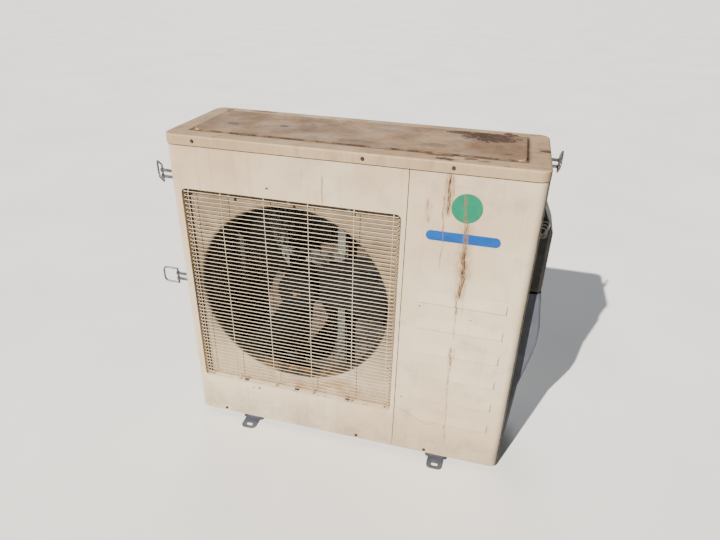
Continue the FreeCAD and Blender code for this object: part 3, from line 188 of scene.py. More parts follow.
class Look:
    """A node material under construction. Its textures lie in the object's own metres."""

    def __init__(self, name, **fixed):
        self.material = bpy.data.materials.new(name)
        self.material.use_nodes = True
        self.tree = self.material.node_tree
        self.tree.nodes.clear()
        self.shader = self.node("ShaderNodeBsdfPrincipled")
        output = self.node("ShaderNodeOutputMaterial")
        self.tree.links.new(self.shader.outputs[0], output.inputs[0])
        for key, value in fixed.items():
            self.shader.inputs[key.replace("_", " ").title()].default_value = value
        place = self.node("ShaderNodeTexCoord")
        self.place = place.outputs["Object"]
        self.x, self.y, self.z = self.node("ShaderNodeSeparateXYZ", {0: self.place}).outputs
        # 1 on faces that look up, -1 on faces that look down
        self.up = self.node("ShaderNodeSeparateXYZ", {0: place.outputs["Normal"]}).outputs[2]
        self.heights = []

    def node(self, kind, inputs=None, **settings):
        """A new node with its settings, and its inputs linked or filled in."""
        made = self.tree.nodes.new(kind)
        for key, value in settings.items():
            setattr(made, key, value)
        for key, value in (inputs or {}).items():
            self.feed(made.inputs[key], value)
        return made

    def feed(self, socket, value):
        if isinstance(value, bpy.types.NodeSocket):
            self.tree.links.new(value, socket)
        else:
            socket.default_value = value

    def math(self, operation, *values):
        return self.node("ShaderNodeMath", dict(enumerate(values)), operation=operation).outputs[0]

    def times(self, *values):
        result = values[0]
        for value in values[1:]:
            result = self.math("MULTIPLY", result, value)
        return result

    def most(self, values):
        result = values[0]
        for value in values[1:]:
            result = self.math("MAXIMUM", result, value)
        return result

    def inverse(self, value):
        return self.math("SUBTRACT", 1.0, value)

    def span(self, value, low, high, start=0.0, end=1.0):
        """Goes smoothly from start to end as value goes from low to high."""
        inputs = {0: value, 1: low, 2: high, 3: start, 4: end}
        return self.node("ShaderNodeMapRange", inputs, interpolation_type="SMOOTHSTEP").outputs[0]

    def mix(self, share, first, second):
        inputs = {0: share, 6: first, 7: second}
        return self.node("ShaderNodeMix", inputs, data_type="RGBA").outputs[2]

    def stretched(self, stretch):
        if stretch == (1, 1, 1):
            return self.place
        inputs = {"Vector": self.place, "Scale": stretch}
        return self.node("ShaderNodeMapping", inputs).outputs[0]

    def noise(self, scale, detail=3.0, rough=0.55, stretch=(1, 1, 1)):
        """Cloudy values round a half."""
        inputs = {"Vector": self.stretched(stretch), "Scale": scale, "Detail": detail, "Roughness": rough}
        return self.node("ShaderNodeTexNoise", inputs).outputs[0]

    def cells(self, scale, stretch=(1, 1, 1)):
        """One random value per cell, a crystal or a chip."""
        inputs = {"Vector": self.stretched(stretch), "Scale": scale}
        colour = self.node("ShaderNodeTexVoronoi", inputs).outputs["Color"]
        return self.node("ShaderNodeSeparateColor", {0: colour}).outputs[0]

    def crevices(self, reach):
        """1 in corners and gaps, 0 in the open."""
        node = self.node("ShaderNodeAmbientOcclusion", {"Distance": reach}, samples=4)
        return self.span(node.outputs["AO"], 0.85, 0.35)

    def edges(self, radius):
        """1 along sharp edges, 0 on faces."""
        soft = self.node("ShaderNodeBevel", {"Radius": radius}, samples=4).outputs[0]
        hard = self.node("ShaderNodeNewGeometry").outputs["Normal"]
        inputs = {0: soft, 1: hard}
        dot = self.node("ShaderNodeVectorMath", inputs, operation="DOT_PRODUCT").outputs["Value"]
        return self.span(dot, 0.995, 0.90)

    def run(self, top_x, top_z, low_x, low_z, half, strength):
        """A thin run of dirty water down an upright face."""
        share = self.node("ShaderNodeMapRange", {0: self.z, 1: top_z, 2: low_z}).outputs[0]
        centre = self.node("ShaderNodeMapRange", {0: share, 3: top_x, 4: low_x}).outputs[0]
        off = self.math("ABSOLUTE", self.math("SUBTRACT", self.wavy_x(), centre))
        across = self.span(off, half, half * 0.25)
        top = self.span(self.z, top_z + 0.004, top_z - 0.010)
        low = self.span(self.z, low_z - 0.004, low_z + 0.015)
        return self.times(across, top, low, strength)

    def wavy_x(self):
        """X with a slight waver, shared by all runs."""
        if not hasattr(self, "waver"):
            bend = self.noise(26, 3, stretch=(0.3, 0.3, 1))
            fray = self.noise(420, 2, stretch=(1, 1, 0.12))
            both = self.math("ADD", self.times(bend, 0.010), self.times(fray, 0.006))
            self.waver = self.math("ADD", self.x, self.math("SUBTRACT", both, 0.008))
        return self.waver

    def rust_runs(self, runs):
        streak = self.most([self.run(*run) for run in runs])
        broken = self.span(self.noise(400, 4, 0.7, (1, 1, 0.11)), 0.34, 0.62, 0.18, 1.0)
        return self.times(streak, broken)

    def blot(self, along, across, centre_a, centre_b, half_a, half_b, strength):
        """A ragged oval stain in the plane of two coordinates."""
        a = self.math("DIVIDE", self.math("SUBTRACT", along, centre_a), half_a)
        b = self.math("DIVIDE", self.math("SUBTRACT", across, centre_b), half_b)
        reach = self.math("ADD", self.times(a, a), self.times(b, b))
        ragged = self.math("ADD", reach, self.ragged())
        return self.span(ragged, 1.25, 0.75, 0.0, strength)

    def ragged(self):
        if not hasattr(self, "rag"):
            self.rag = self.span(self.noise(60, 6, 0.68), 0.25, 0.75, -0.85, 0.85)
        return self.rag

    def raise_by(self, height, metres):
        self.heights.append(self.times(height, metres))

    def finish(self, colour, roughness):
        """Links the colour, roughness and height, and gives the material back."""
        self.feed(self.shader.inputs["Base Color"], colour)
        self.feed(self.shader.inputs["Roughness"], roughness)
        if self.heights:
            total = self.heights[0]
            for height in self.heights[1:]:
                total = self.math("ADD", total, height)
            bump = self.node("ShaderNodeBump", {"Height": total, "Distance": 1.0})
            self.feed(self.shader.inputs["Normal"], bump.outputs[0])
        return self.material


# ---------------------------------------------------------------- painted sheet

def sheet_paint(look, pale, deep, dirt=0.35):
    """Aged paint: two tints in clouds, dusty patches, washed-down dirt and specks."""
    clouds = look.span(look.noise(3.1, 4, 0.5), 0.34, 0.68)
    colour = look.mix(clouds, pale, deep)
    patches = look.span(look.noise(17, 5, 0.65), 0.48, 0.78, 0.0, dirt)
    colour = look.mix(patches, colour, DUST)
    washed = look.span(look.noise(1.0, 5, 0.6, (42, 42, 2.2)), 0.52, 0.80, 0.0, dirt * 0.8)
    colour = look.mix(washed, colour, rgb(150, 122, 98))
    specks = look.span(look.noise(210, 2, 0.5), 0.755, 0.80, 0.0, 0.75)
    colour = look.mix(specks, colour, SOOT)
    look.raise_by(look.noise(640, 2), 0.00003)
    look.raise_by(look.noise(7, 2), 0.0012)
    return colour


def sheet_roughness(look):
    return look.span(look.noise(11, 4), 0.3, 0.7, 0.38, 0.60)


def corner_dirt_and_shade(look, strength):
    """Dirt in corners and gaps, and painted shade there: the colour darkens where ambient occlusion finds
    them.
    """
    cloudy = look.span(look.noise(60, 3), 0.2, 0.7, 0.4, 1.0)
    return look.times(look.crevices(0.012), cloudy, strength)


def worn_edges(look, radius, scale, low, high):
    """Bare, rusty spots along the sharp edges."""
    return look.times(look.edges(radius), look.span(look.noise(scale, 5, 0.7), low, high))


def distance(look, value, middle):
    """How far a value is from a middle, on either side."""
    return look.math("ABSOLUTE", look.math("SUBTRACT", value, middle))


def past_box(look, along, across, middle, half):
    """How far outside a rectangle a point lies, negative inside it."""
    side_a = look.math("SUBTRACT", distance(look, along, middle[0]), half[0])
    side_b = look.math("SUBTRACT", distance(look, across, middle[1]), half[1])
    return look.math("MAXIMUM", side_a, side_b)


def marks(look):
    """Chips in the front's paint."""
    spots = [look.blot(look.x, look.z, x, z, radius * 1.4, radius, 0.9) for x, z, radius in CHIPS]
    return look.most(spots)


def scratch(look):
    """1 along the long scratch, worked out stretch by stretch, and 0 elsewhere."""
    lines = []
    for (ax, az), (bx, bz) in zip(SCRATCH, SCRATCH[1:]):
        share = look.node("ShaderNodeMapRange", {0: look.x, 1: ax, 2: bx}).outputs[0]
        height = look.node("ShaderNodeMapRange", {0: share, 3: az, 4: bz}).outputs[0]
        off = distance(look, look.z, height)
        inside = look.times(look.math("GREATER_THAN", look.x, ax), look.math("LESS_THAN", look.x, bx))
        lines.append(look.times(look.span(off, 0.0012, 0.0004), inside))
    return look.times(look.most(lines), look.span(look.noise(120, 2), 0.3, 0.5, 0.5, 1.0))


def wedge_shadow(look):
    """Painted shadow along the lower edge and the right end of each pressed wedge."""
    over = look.math("MODULO", look.math("SUBTRACT", look.z, WEDGE_LOWEST - WEDGE_SHADOW_INSET), WEDGE_PITCH)
    past_left = look.math("GREATER_THAN", look.x, WEDGE_LEFT)
    before_right = look.math("LESS_THAN", look.x, WEDGE_RIGHT)
    above_lowest = look.span(look.z, WEDGE_LOWEST - 0.003, WEDGE_LOWEST - 0.001)
    rows = look.times(above_lowest, look.span(look.z, WEDGES_TOP, WEDGES_TOP - 0.002))
    low_edge = look.times(look.span(over, 0.0026, 0.0010), past_left, before_right)
    off = distance(look, look.x, WEDGE_RIGHT - WEDGE_SHADOW_INSET)
    end = look.times(look.span(off, 0.0016, 0.0006), look.span(over, 0.034, 0.020))
    faint = look.span(look.noise(24, 5, 0.6), 0.30, 0.60, 0.55, 1.0)
    return look.times(look.math("MAXIMUM", low_edge, end), rows, faint)


def film_edge(look):
    """Yellowed outline that the edge of an old clear film left round the badge and the bar."""
    rim = look.math("ABSOLUTE", past_box(look, look.x, look.z, FILM_MIDDLE, FILM_HALF))
    faint = look.span(look.noise(30, 4), 0.35, 0.7, 0.05, 0.5)
    return look.times(look.span(rim, 0.0016, 0.0004), faint)


def recess_shade_and_rust(look, colour):
    """Dust and painted shade on the floor of the guard's recess, painted shade in the orifice's throat, a
    rusty stain low down.
    """
    # Dust and painted shade: the recess floor darker, more so higher up.
    in_recess = look.span(look.y, RECESS_EDGE, RECESS_FLOOR)
    dusty = look.span(look.noise(16, 5, 0.6), 0.25, 0.75, 0.70, 0.98)
    higher = look.span(look.z, 0.22, 0.42, 0.6, 1.0)
    colour = look.mix(look.times(in_recess, dusty, higher), colour, rgb(116, 96, 72))
    # Painted shade: the throat of the orifice almost black.
    in_throat = look.span(look.y, THROAT_FRONT, THROAT_BACK)
    shaded = look.span(look.noise(30, 4), 0.2, 0.5, 0.86, 0.97)
    colour = look.mix(look.times(in_throat, shaded), colour, rgb(34, 30, 26))
    low = look.span(look.z, STAIN_FADED, STAIN_FULL)
    deep = look.span(look.y, RECESS_EDGE, RECESS_FLOOR - 0.002)
    wide = look.span(distance(look, look.x, STAIN_MIDDLE), 0.28, 0.08)
    stained = look.span(look.noise(20, 6, 0.7), 0.38, 0.66, 0.0, 0.85)
    return look.mix(look.times(low, deep, wide, stained), colour, rgb(150, 116, 78))


def service_shadows_and_marks(look, colour):
    """What shows on the service panel only: painted shadow round the wedges, the film's outline and a
    scratch.
    """
    # Painted shadow of the pressed wedges.
    colour = look.mix(wedge_shadow(look), colour, rgb(100, 86, 70))
    colour = look.mix(film_edge(look), colour, rgb(196, 170, 120))
    return look.mix(look.times(scratch(look), 0.75), colour, rgb(92, 78, 60))


def front_paint(name, runs, extra):
    """Paint of the two front panels, with runs of rust water, a painted shadow under the cover's skirt, and
    dirt and painted shade in the corners; extra adds a panel's own marks and painted shade.
    """
    look = Look(name, metallic=0.0)
    look.shader.inputs["Specular IOR Level"].default_value = 0.35
    colour = sheet_paint(look, rgb(236, 220, 188), rgb(220, 199, 164))
    blush = look.span(look.noise(4.4, 3), 0.50, 0.72, 0.0, 0.45)
    colour = look.mix(blush, colour, rgb(214, 184, 152))
    clouds = look.span(look.noise(5.5, 5, 0.6), 0.34, 0.66, 0.15, 1.0)
    tanned = look.times(look.span(look.z, 0.66, 0.93, 0.0, 0.45), clouds)
    colour = look.mix(tanned, colour, rgb(178, 148, 114))
    # Painted shadow: a dark band just under the skirt of the top cover.
    gap = look.times(look.span(look.z, SKIRT_SHADOW_LOW, SKIRT_SHADOW_HIGH), look.span(look.noise(12, 3), 0.2, 0.6, 0.55, 0.95))
    colour = look.mix(gap, colour, rgb(58, 46, 36))
    foot = look.times(look.span(look.z, 0.16, 0.03), look.span(look.noise(22, 5, 0.7), 0.25, 0.75, 0.1, 0.6))
    colour = look.mix(foot, colour, rgb(148, 134, 118))
    # Dirt and painted shade in corners and gaps, found by ambient occlusion.
    colour = look.mix(corner_dirt_and_shade(look, 0.55), colour, SOIL_AND_SHADE)
    colour = extra(look, colour)
    colour = look.mix(marks(look), colour, SOOT)
    colour = look.mix(worn_edges(look, 0.0012, 70, 0.56, 0.64), colour, RUST_DARK)
    streaks = look.rust_runs(runs)
    wash = look.rust_runs([(*run[:4], run[4] * WASH_WIDTH, run[5] * WASH_STRENGTH) for run in runs])
    colour = look.mix(wash, colour, RUST_LIGHT)
    halo = look.span(streaks, 0.02, 0.5, 0.0, 0.75)
    colour = look.mix(halo, colour, RUST_LIGHT)
    colour = look.mix(look.span(streaks, 0.44, 0.88, 0.0, 0.92), colour, RUST_DARK)
    return look.finish(colour, look.math("MAXIMUM", sheet_roughness(look), look.times(halo, 1.1)))


def cover_paint():
    """Paint of the top cover: soiled on top, stained in places, with a dark line round the raised field that
    is partly dirt and partly painted shade.
    """
    look = Look("cover_paint_aged", metallic=0.0)
    look.shader.inputs["Specular IOR Level"].default_value = 0.2
    colour = sheet_paint(look, rgb(208, 182, 146), rgb(190, 162, 126))
    top = look.span(look.up, 0.55, 0.92)
    soiled = look.span(look.noise(7.5, 7, 0.68), 0.26, 0.70, 0.58, 0.95)
    colour = look.mix(look.times(top, soiled), colour, rgb(90, 64, 42))
    stained = look.span(look.noise(24, 6, 0.72, (1, 1.6, 1)), 0.50, 0.74, 0.0, 0.75)
    deep = look.times(top, stained)
    colour = look.mix(deep, colour, rgb(86, 58, 40))
    outside = past_box(look, look.x, look.y, (0.0, FIELD_MIDDLE_Y), FIELD_HALF)
    # Dirt and painted shade: a dark line round the raised field, over its lit slope.
    rim = look.span(look.math("ABSOLUTE", outside), 0.0050, 0.0022)
    on_top = look.span(look.z, FIELD_FOOT, FIELD_TOP)
    cloudy = look.span(look.noise(30, 4), 0.3, 0.6, 0.65, 1.0)
    colour = look.mix(look.times(rim, on_top, cloudy, 0.95), colour, rgb(56, 40, 29))
    margin = look.times(look.span(outside, 0.002, 0.012, 0.0, 0.45), look.inverse(stained))
    colour = look.mix(margin, colour, rgb(176, 152, 120))
    stains = look.most([look.blot(look.x, look.y, *stain) for stain in COVER_STAINS])
    thin = look.span(look.noise(130, 4), 0.25, 0.5, 0.55, 1.0)
    stains = look.times(stains, look.span(look.up, -0.2, 0.3), thin)
    colour = look.mix(stains, colour, rgb(54, 29, 9))
    drips = look.span(look.noise(34, 4, 0.6, (1, 1, 0.3)), 0.52, 0.75, 0.0, 0.5)
    colour = look.mix(look.times(look.inverse(top), drips), colour, rgb(158, 128, 98))
    colour = look.mix(worn_edges(look, 0.0015, 60, 0.55, 0.62), colour, RUST_DARK)
    return look.finish(colour, look.span(look.noise(19, 5), 0.3, 0.7, 0.62, 0.85))


def plain_paint(name, pale, deep, dirt=0.35):
    """Aged paint of the other sheet parts, with dirt and painted shade in the corners, and worn along the
    edges.
    """
    look = Look(name, metallic=0.0)
    colour = sheet_paint(look, pale, deep, dirt)
    colour = look.mix(corner_dirt_and_shade(look, 0.6), colour, SOIL_AND_SHADE)
    colour = look.mix(worn_edges(look, 0.001, 80, 0.54, 0.62), colour, RUST_DARK)
    return look.finish(colour, sheet_roughness(look))


def wire_paint():
    """Guard wires: yellowed enamel, painted shade underneath, and rusty, mostly low down."""
    look = Look("guard_paint_aged", metallic=0.0)
    colour = look.mix(look.span(look.noise(5, 4), 0.35, 0.65), rgb(226, 214, 190), rgb(206, 190, 160))
    yellow = look.times(look.span(look.z, 0.42, 0.18), look.span(look.noise(14, 4), 0.3, 0.7, 0.3, 1.0))
    colour = look.mix(look.times(yellow, 0.6), colour, rgb(190, 160, 112))
    low = look.span(look.z, 0.30, 0.165, 0.70, 0.57)
    # Painted shade: the undersides of the wires darker.
    under = look.times(look.span(look.up, 0.15, -0.35), look.span(look.noise(40, 4), 0.2, 0.6, 0.7, 1.0))
    colour = look.mix(under, colour, rgb(52, 44, 35))
    rusty = look.math("GREATER_THAN", look.noise(75, 5, 0.75), low)
    colour = look.mix(look.times(rusty, 0.7), colour, look.mix(look.noise(300), RUST_DARK, RUST_LIGHT))
    look.raise_by(look.noise(500, 3), 0.0001)
    return look.finish(colour, look.span(look.noise(40), 0.3, 0.7, 0.42, 0.7))


# ---------------------------------------------------------------- bare metals

def metal(name, pale, deep, rough=(0.3, 0.5), spangle=0.0, rust=0.0, dust=0.25, bump=0.00004):
    """Bare or plated metal, with grain, dulled patches, rust and settled dust."""
    look = Look(name)
    shade = look.noise(60, 5, 0.65)
    if spangle:
        shade = look.math("ADD", look.times(look.cells(spangle), 0.35), look.times(shade, 0.65))
    colour = look.mix(look.span(shade, 0.25, 0.75), pale, deep)
    lying = look.span(look.up, -0.2, 0.9, 0.25, 1.0)
    settled = look.times(lying, look.span(look.noise(35, 5), 0.3, 0.7, 0.2, 1.0), dust)
    rusty = look.span(look.noise(48, 6, 0.75), 0.70 - rust * 0.35, 0.76 - rust * 0.30)
    cover = look.math("MAXIMUM", settled, rusty)
    colour = look.mix(settled, colour, DUST)
    colour = look.mix(rusty, colour, look.mix(look.noise(260, 4), RUST_DARK, RUST_LIGHT))
    look.feed(look.shader.inputs["Metallic"], look.span(cover, 0.1, 0.8, 1.0, 0.0))
    look.raise_by(look.noise(420, 4), bump)
    look.raise_by(rusty, bump * 1.5)
    roughness = look.span(look.noise(90, 3), 0.3, 0.7, *rough)
    return look.finish(colour, look.math("MAXIMUM", roughness, look.times(cover, 0.8)))


def fins():
    """Coil fins: dull aluminium, brown dust in clouds and some darker rows."""
    look = Look("fin_aluminium_dusty")
    dusty = look.span(look.noise(6, 6, 0.65), 0.30, 0.68, 0.25, 0.85)
    colour = look.mix(look.noise(300, 3), rgb(170, 172, 172), rgb(140, 142, 142))
    colour = look.mix(dusty, colour, rgb(168, 138, 110))
    colour = look.mix(look.span(look.noise(38, 5, 0.7), 0.55, 0.72, 0.0, 0.75), colour, rgb(88, 66, 50))
    look.feed(look.shader.inputs["Metallic"], look.span(dusty, 0.2, 0.9, 0.85, 0.15))
    look.raise_by(look.noise(900, 2), 0.00002)
    return look.finish(colour, look.span(dusty, 0.0, 1.0, 0.40, 0.85))


# ---------------------------------------------------------------- plastics and the rest

def plastic(name, pale, deep, dust=0.3, rough=(0.4, 0.6), shine=0.5):
    """Moulded plastic or rubber with a fine grain and settled dust."""
    look = Look(name, metallic=0.0)
    look.shader.inputs["Specular IOR Level"].default_value = shine
    colour = look.mix(look.span(look.noise(9, 4), 0.3, 0.7), pale, deep)
    film = look.times(look.span(look.noise(15, 6, 0.65), 0.35, 0.72), dust)
    lying = look.times(look.span(look.up, 0.3, 0.95), look.span(look.noise(70, 3), 0.3, 0.7, 0.3, 1.0), dust)
    cover = look.math("MAXIMUM", film, lying)
    colour = look.mix(cover, colour, DUST)
    look.raise_by(look.noise(420, 3), 0.00003)
    look.raise_by(look.noise(40, 3), 0.0001)
    roughness = look.span(look.noise(50, 4), 0.3, 0.7, *rough)
    return look.finish(colour, look.math("MAXIMUM", roughness, look.times(cover, 1.2)))


def sticker(name, pale, deep):
    """Glossy badge, faded in patches, with the rust runs of the panel over it."""
    look = Look(name, metallic=0.0)
    colour = look.mix(look.span(look.noise(30, 4), 0.3, 0.7), pale, deep)
    colour = look.mix(look.span(look.noise(160, 5, 0.7), 0.66, 0.74, 0.0, 0.4), colour, rgb(186, 176, 160))
    streaks = look.rust_runs(RUST_RUNS[:BADGE_RUN_COUNT])
    colour = look.mix(look.span(streaks, 0.05, 0.6, 0.0, 0.8), colour, RUST_LIGHT)
    colour = look.mix(look.span(streaks, 0.4, 0.9), colour, RUST_DARK)
    look.raise_by(look.noise(350, 3), 0.00002)
    return look.finish(colour, look.span(look.noise(60, 4), 0.3, 0.7, 0.4, 0.6))


def windings():
    """Copper wire ends under varnish: fine turns round the axis."""
    look = Look("winding_varnished", metallic=0.6)
    inputs = {"Vector": look.place, "Scale": 260.0, "Distortion": 6.0, "Detail": 2.0}
    turns = look.node("ShaderNodeTexWave", inputs).outputs[1]
    colour = look.mix(turns, rgb(150, 74, 38), rgb(96, 42, 22))
    look.raise_by(turns, 0.0003)
    return look.finish(colour, look.span(look.noise(80), 0.3, 0.7, 0.25, 0.5))


def board():
    """Circuit board: green lacquer over copper tracks."""
    look = Look("board_lacquer", metallic=0.0)
    tracks = look.node("ShaderNodeTexBrick", {
        "Vector": look.place, "Scale": 60.0, "Mortar Size": 0.04,
        "Color1": (0, 0, 0, 1), "Color2": (0.1, 0.1, 0.1, 1), "Mortar": (1, 1, 1, 1),
    }, offset=0.37, squash=1.7).outputs[1]
    colour = look.mix(look.noise(50, 4), rgb(24, 92, 52), rgb(16, 70, 40))
    colour = look.mix(look.times(tracks, 0.6), colour, rgb(70, 140, 70))
    look.raise_by(tracks, 0.0001)
    return look.finish(colour, look.span(look.noise(60), 0.3, 0.7, 0.25, 0.45))


def floor_look():
    look = Look("floor_pale", metallic=0.0)
    colour = look.mix(look.span(look.noise(1.3, 4), 0.3, 0.7), rgb(243, 242, 240), rgb(236, 235, 232))
    look.raise_by(look.noise(220, 3), 0.0001)
    return look.finish(colour, look.span(look.noise(3), 0.3, 0.7, 0.75, 0.9))


def slot_looks():
    """One aged material for each material slot of the record."""
    cream = (rgb(230, 212, 180), rgb(212, 191, 157))
    return {
        "cream_paint": plain_paint("cream_paint_aged", *cream),
        "cover_paint": cover_paint(),
        "guard_paint": wire_paint(),
        # Painted shade: the grey cover's paint darkened and tinted blue, as in the shadow of the body.
        "grey_cover": plain_paint("grey_cover_painted_shade", rgb(78, 83, 95), rgb(64, 69, 80), 0.2),
        "motor_paint": plain_paint("motor_paint_aged", rgb(60, 59, 57), rgb(46, 45, 43), 0.4),
        "compressor_paint": plain_paint("compressor_paint_aged", rgb(40, 41, 43), rgb(28, 29, 31), 0.3),
        "galvanised": metal("galvanised_spangled", rgb(172, 174, 168), rgb(148, 151, 146),
                            (0.45, 0.65), spangle=130, dust=0.45),
        "zinc_screw": metal("zinc_screw_rusty", rgb(92, 80, 66), rgb(52, 42, 33), (0.45, 0.65), rust=0.45),
        "dark_steel": metal("dark_steel_oiled", rgb(122, 124, 126), rgb(78, 80, 83), (0.3, 0.5), rust=0.1),
        "ring_steel": metal("ring_steel_worn", rgb(128, 130, 134), rgb(70, 72, 76), (0.28, 0.5), rust=0.25),
        "copper": metal("copper_tarnished", rgb(200, 124, 84), rgb(128, 72, 48), (0.28, 0.5), dust=0.2),
        "valve_brass": metal("brass_dulled", rgb(204, 172, 104), rgb(150, 118, 66), (0.28, 0.48), dust=0.2),
        "fin_aluminium": fins(),
        "fan_plastic": plastic("fan_plastic_dusty", rgb(9, 9, 10), rgb(5, 5, 6),
                               0.02, (0.6, 0.8), shine=0.15),
        "black_plastic": plastic("black_plastic_dusty", rgb(20, 20, 21), rgb(12, 12, 13),
                                 0.07, (0.45, 0.65), shine=0.35),
        "rubber": plastic("rubber_perished", rgb(38, 37, 36), rgb(24, 24, 24), 0.35, (0.65, 0.85)),
        "white_plastic": plastic("white_plastic_aged", rgb(226, 222, 208), rgb(206, 200, 182),
                                 0.25, (0.35, 0.5)),
        "cable": plastic("cable_sheath", rgb(216, 212, 200), rgb(190, 184, 170), 0.35, (0.4, 0.6)),
        "winding": windings(),
        "board_green": board(),
        "badge_teal": sticker("badge_teal_faded", rgb(0, 132, 98), rgb(0, 118, 86)),
        "bar_blue": sticker("bar_blue_faded", rgb(0, 86, 168), rgb(0, 74, 150)),
    }


def dress_nodes(looks):
    """Gives every carried-over CAD node its aged material."""
    own = {
        "front_panel": front_paint("front_panel_paint", PANEL_RUNS, recess_shade_and_rust),
        "service_panel": front_paint("service_panel_paint", RUST_RUNS, service_shadows_and_marks),
    }
    for name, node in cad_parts.items():
        for place in node.material_slots:
            place.material = own.get(name) or looks[place.material.name.split(".")[0]]


# ---------------------------------------------------------------- pieces

def mesh_of(name, made):
    """Turns a bmesh into a mesh."""
    mesh = bpy.data.meshes.new(name)
    made.to_mesh(mesh)
    made.free()
    return mesh


def place_in_scene(name, data):
    thing = bpy.data.objects.new(name, data)
    bpy.context.scene.collection.objects.link(thing)
    return thing


def add_piece(name, mesh, body, slot, look, *nodes):
    """Puts a mesh in the scene as a piece that rides a body and stands for CAD nodes."""
    piece = place_in_scene(name, mesh)
    piece.data.materials.append(look)
    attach(piece, body)
    if nodes:
        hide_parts(*nodes)
    return piece


def coil_line(low, high):
    """Middle line of the coil from its front left end round the bend to its right end.
    Returns a function from the run along it to (point, direction), and its length."""
    half = COIL_DEPTH / 2
    middle = COIL_BEND - half
    left_x, back_y = low.x + half, high.y - half
    straight = back_y - middle - low.y
    arc = middle * math.pi / 2
    rear = high.x - (left_x + middle)

    def at(run):
        if run < straight:
            return Vector((left_x, low.y + run, 0)), Vector((0, 1, 0))
        if run < straight + arc:
            turn = (run - straight) / middle
            centre = Vector((left_x + middle, back_y - middle, 0))
            out = Vector((-math.cos(turn), math.sin(turn), 0))
            return centre + out * middle, Vector((math.sin(turn), math.cos(turn), 0))
        return Vector((left_x + middle + run - straight - arc, back_y, 0)), Vector((1, 0, 0))
    return at, straight + arc + rear


def coil_fins(look):
    """Several hundred thin corrugated fins along the coil's line, none of them quite straight."""
    low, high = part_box("condenser_fins")
    at, length = coil_line(low, high)
    count = int(length / FIN_PITCH)
    draw = random.Random(7)
    made = bmesh.new()
    for number in range(count):
        run = (number + 0.5) * length / count
        point, along = at(run)
        across = Vector((-along.y, along.x, 0))
        lean = draw.uniform(-FIN_LEAN, FIN_LEAN)
        rows = []
        for level in range(FIN_LEVELS + 1):
            share = level / FIN_LEVELS
            sway = lean + FIN_SWAY * math.sin(share * 9 + run * 14) * math.sin(math.pi * share)
            front, back = [], []
            for fold in range(FIN_FOLDS + 1):
                depth = (fold / FIN_FOLDS - 0.5) * COIL_DEPTH
                zigzag = FOLD_DEPTH if fold % 2 else -FOLD_DEPTH
                spot = point + across * depth + along * (sway + zigzag)
                spot.z = low.z + share * (high.z - low.z)
                front.append(made.verts.new(spot + along * FIN_THICKNESS / 2))
                back.append(made.verts.new(spot - along * FIN_THICKNESS / 2))
            rows.append(front + back[::-1])
        size = len(rows[0])
        for lower, upper in zip(rows, rows[1:]):
            for here in range(size):
                there = (here + 1) % size
                made.faces.new((lower[here], lower[there], upper[there], upper[here]))
        made.faces.new(rows[0][::-1])
        made.faces.new(rows[-1])
    mesh = mesh_of("coil_fins", made)
    return add_piece("coil_fins", mesh, "casing", "fin_aluminium", look, "condenser_fins")


def sweep(made, points, radius, sides=10):
    """Adds a round bar along a line of points to a bmesh."""
    rings = []
    for number, point in enumerate(points):
        before = points[max(0, number - 1)]
        after = points[min(len(points) - 1, number + 1)]
        turn = (after - before).normalized().to_track_quat("Z", "Y")
        ring = []
        for side in range(sides):
            angle = 2 * math.pi * side / sides
            ring.append(made.verts.new(point + turn @ Vector((math.cos(angle), math.sin(angle), 0)) * radius))
        rings.append(ring)
    for lower, upper in zip(rings, rings[1:]):
        for here in range(sides):
            there = (here + 1) % sides
            face = made.faces.new((lower[here], lower[there], upper[there], upper[here]))
            face.smooth = True
    made.faces.new(rings[0][::-1])
    made.faces.new(rings[-1])


def coil_tubes(look):
    """The copper tubes that run through the fins and end in the return bends."""
    low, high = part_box("condenser_fins")
    at, length = coil_line(low, high)
    runs = [length * step / TUBE_STEPS for step in range(TUBE_STEPS + 1)]
    made = bmesh.new()
    for number in range(TUBE_COUNT):
        level = Vector((0, 0, TUBE_LOWEST + number * TUBE_PITCH))
        sweep(made, [at(run)[0] + level for run in runs], TUBE_RADIUS)
    mesh = mesh_of("coil_tubes", made)
    return add_piece("coil_tubes", mesh, "casing", "copper", look)


# ---------------------------------------------------------------- studio

def add_floor():
    """A plain pale floor. It throws no light back, so shadows on the unit stay clear."""
    made = bmesh.new()
    bmesh.ops.create_grid(made, x_segments=1, y_segments=1, size=FLOOR_HALF)
    floor = place_in_scene("studio_floor", mesh_of("studio_floor", made))
    floor.data.materials.append(floor_look())
    floor.visible_diffuse = False


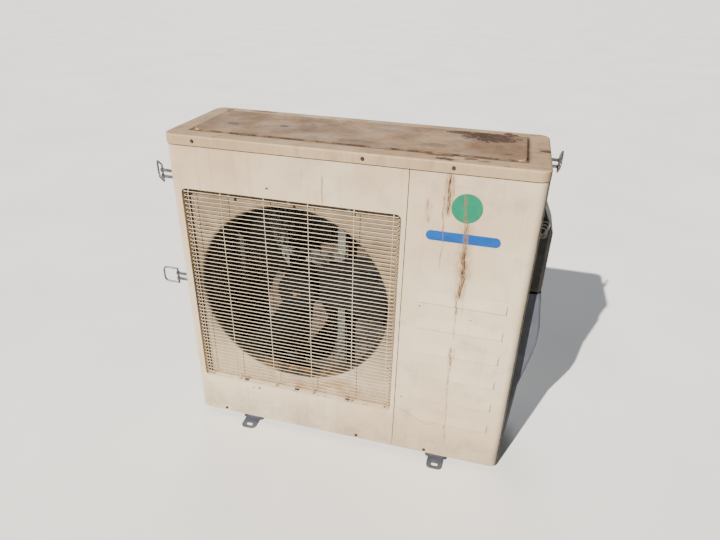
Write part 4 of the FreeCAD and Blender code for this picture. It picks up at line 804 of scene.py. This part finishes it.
def backdrop_look():
    look = Look("backdrop_pale", metallic=0.0)
    pale = look.mix(look.span(look.noise(0.05, 3), 0.3, 0.7), rgb(236, 237, 239), rgb(230, 231, 234))
    look.feed(look.shader.inputs["Emission Color"], pale)
    look.shader.inputs["Emission Strength"].default_value = 1.3
    return look.finish(rgb(0, 0, 0), look.span(look.noise(0.1), 0.3, 0.7, 0.9, 1.0))


def add_backdrop():
    """A plain pale dome far off, which only the camera sees."""
    made = bmesh.new()
    bmesh.ops.create_uvsphere(made, u_segments=64, v_segments=32, radius=BACKDROP_RADIUS)
    dome = place_in_scene("studio_backdrop", mesh_of("studio_backdrop", made))
    dome.data.materials.append(backdrop_look())
    for ray in ("diffuse", "glossy", "transmission", "volume_scatter", "shadow"):
        setattr(dome, "visible_" + ray, False)


def add_light(name, place, spread, strength, colour, shine=1.0):
    """A sun lamp that shines from a place towards the middle of the unit, spread in degrees."""
    lamp = bpy.data.lights.new(name, "SUN")
    lamp.angle = math.radians(spread)
    lamp.energy = strength
    lamp.color = colour
    lamp.specular_factor = shine
    thing = place_in_scene(name, lamp)
    thing.location = place
    thing.rotation_euler = (Vector(LIT_POINT) - Vector(place)).to_track_quat("-Z", "Y").to_euler()


def add_studio():
    """A warm key from the upper left of the front, a cool fill from the back and a dim surround."""
    world = bpy.data.worlds.new("studio")
    bpy.context.scene.world = world
    world.use_nodes = True
    surround = world.node_tree.nodes["Background"]
    surround.inputs["Color"].default_value = (0.84, 0.91, 1.0, 1.0)
    surround.inputs["Strength"].default_value = 0.16
    add_light("key", KEY_PLACE, 0.7, 9.4, (1.0, 0.935, 0.85))
    add_light("back_fill", BACK_FILL_PLACE, 30.0, 1.6, (0.95, 0.97, 1.0), shine=0.0)


def add_camera():
    data = bpy.data.cameras.new("camera")
    data.sensor_width = 36.0
    data.lens = CAMERA_LENS
    camera = place_in_scene("camera", data)
    view = (Vector(CAMERA_AIM) - Vector(CAMERA_PLACE)).to_track_quat("-Z", "Y")
    roll = Quaternion((0, 0, 1), math.radians(CAMERA_ROLL))
    camera.location = CAMERA_PLACE
    camera.rotation_euler = (view @ roll).to_euler()
    bpy.context.scene.camera = camera


add_camera()
add_floor()
add_backdrop()
add_studio()
looks = slot_looks()
dress_nodes(looks)
coil_fins(looks["fin_aluminium"])
coil_tubes(looks["copper"])
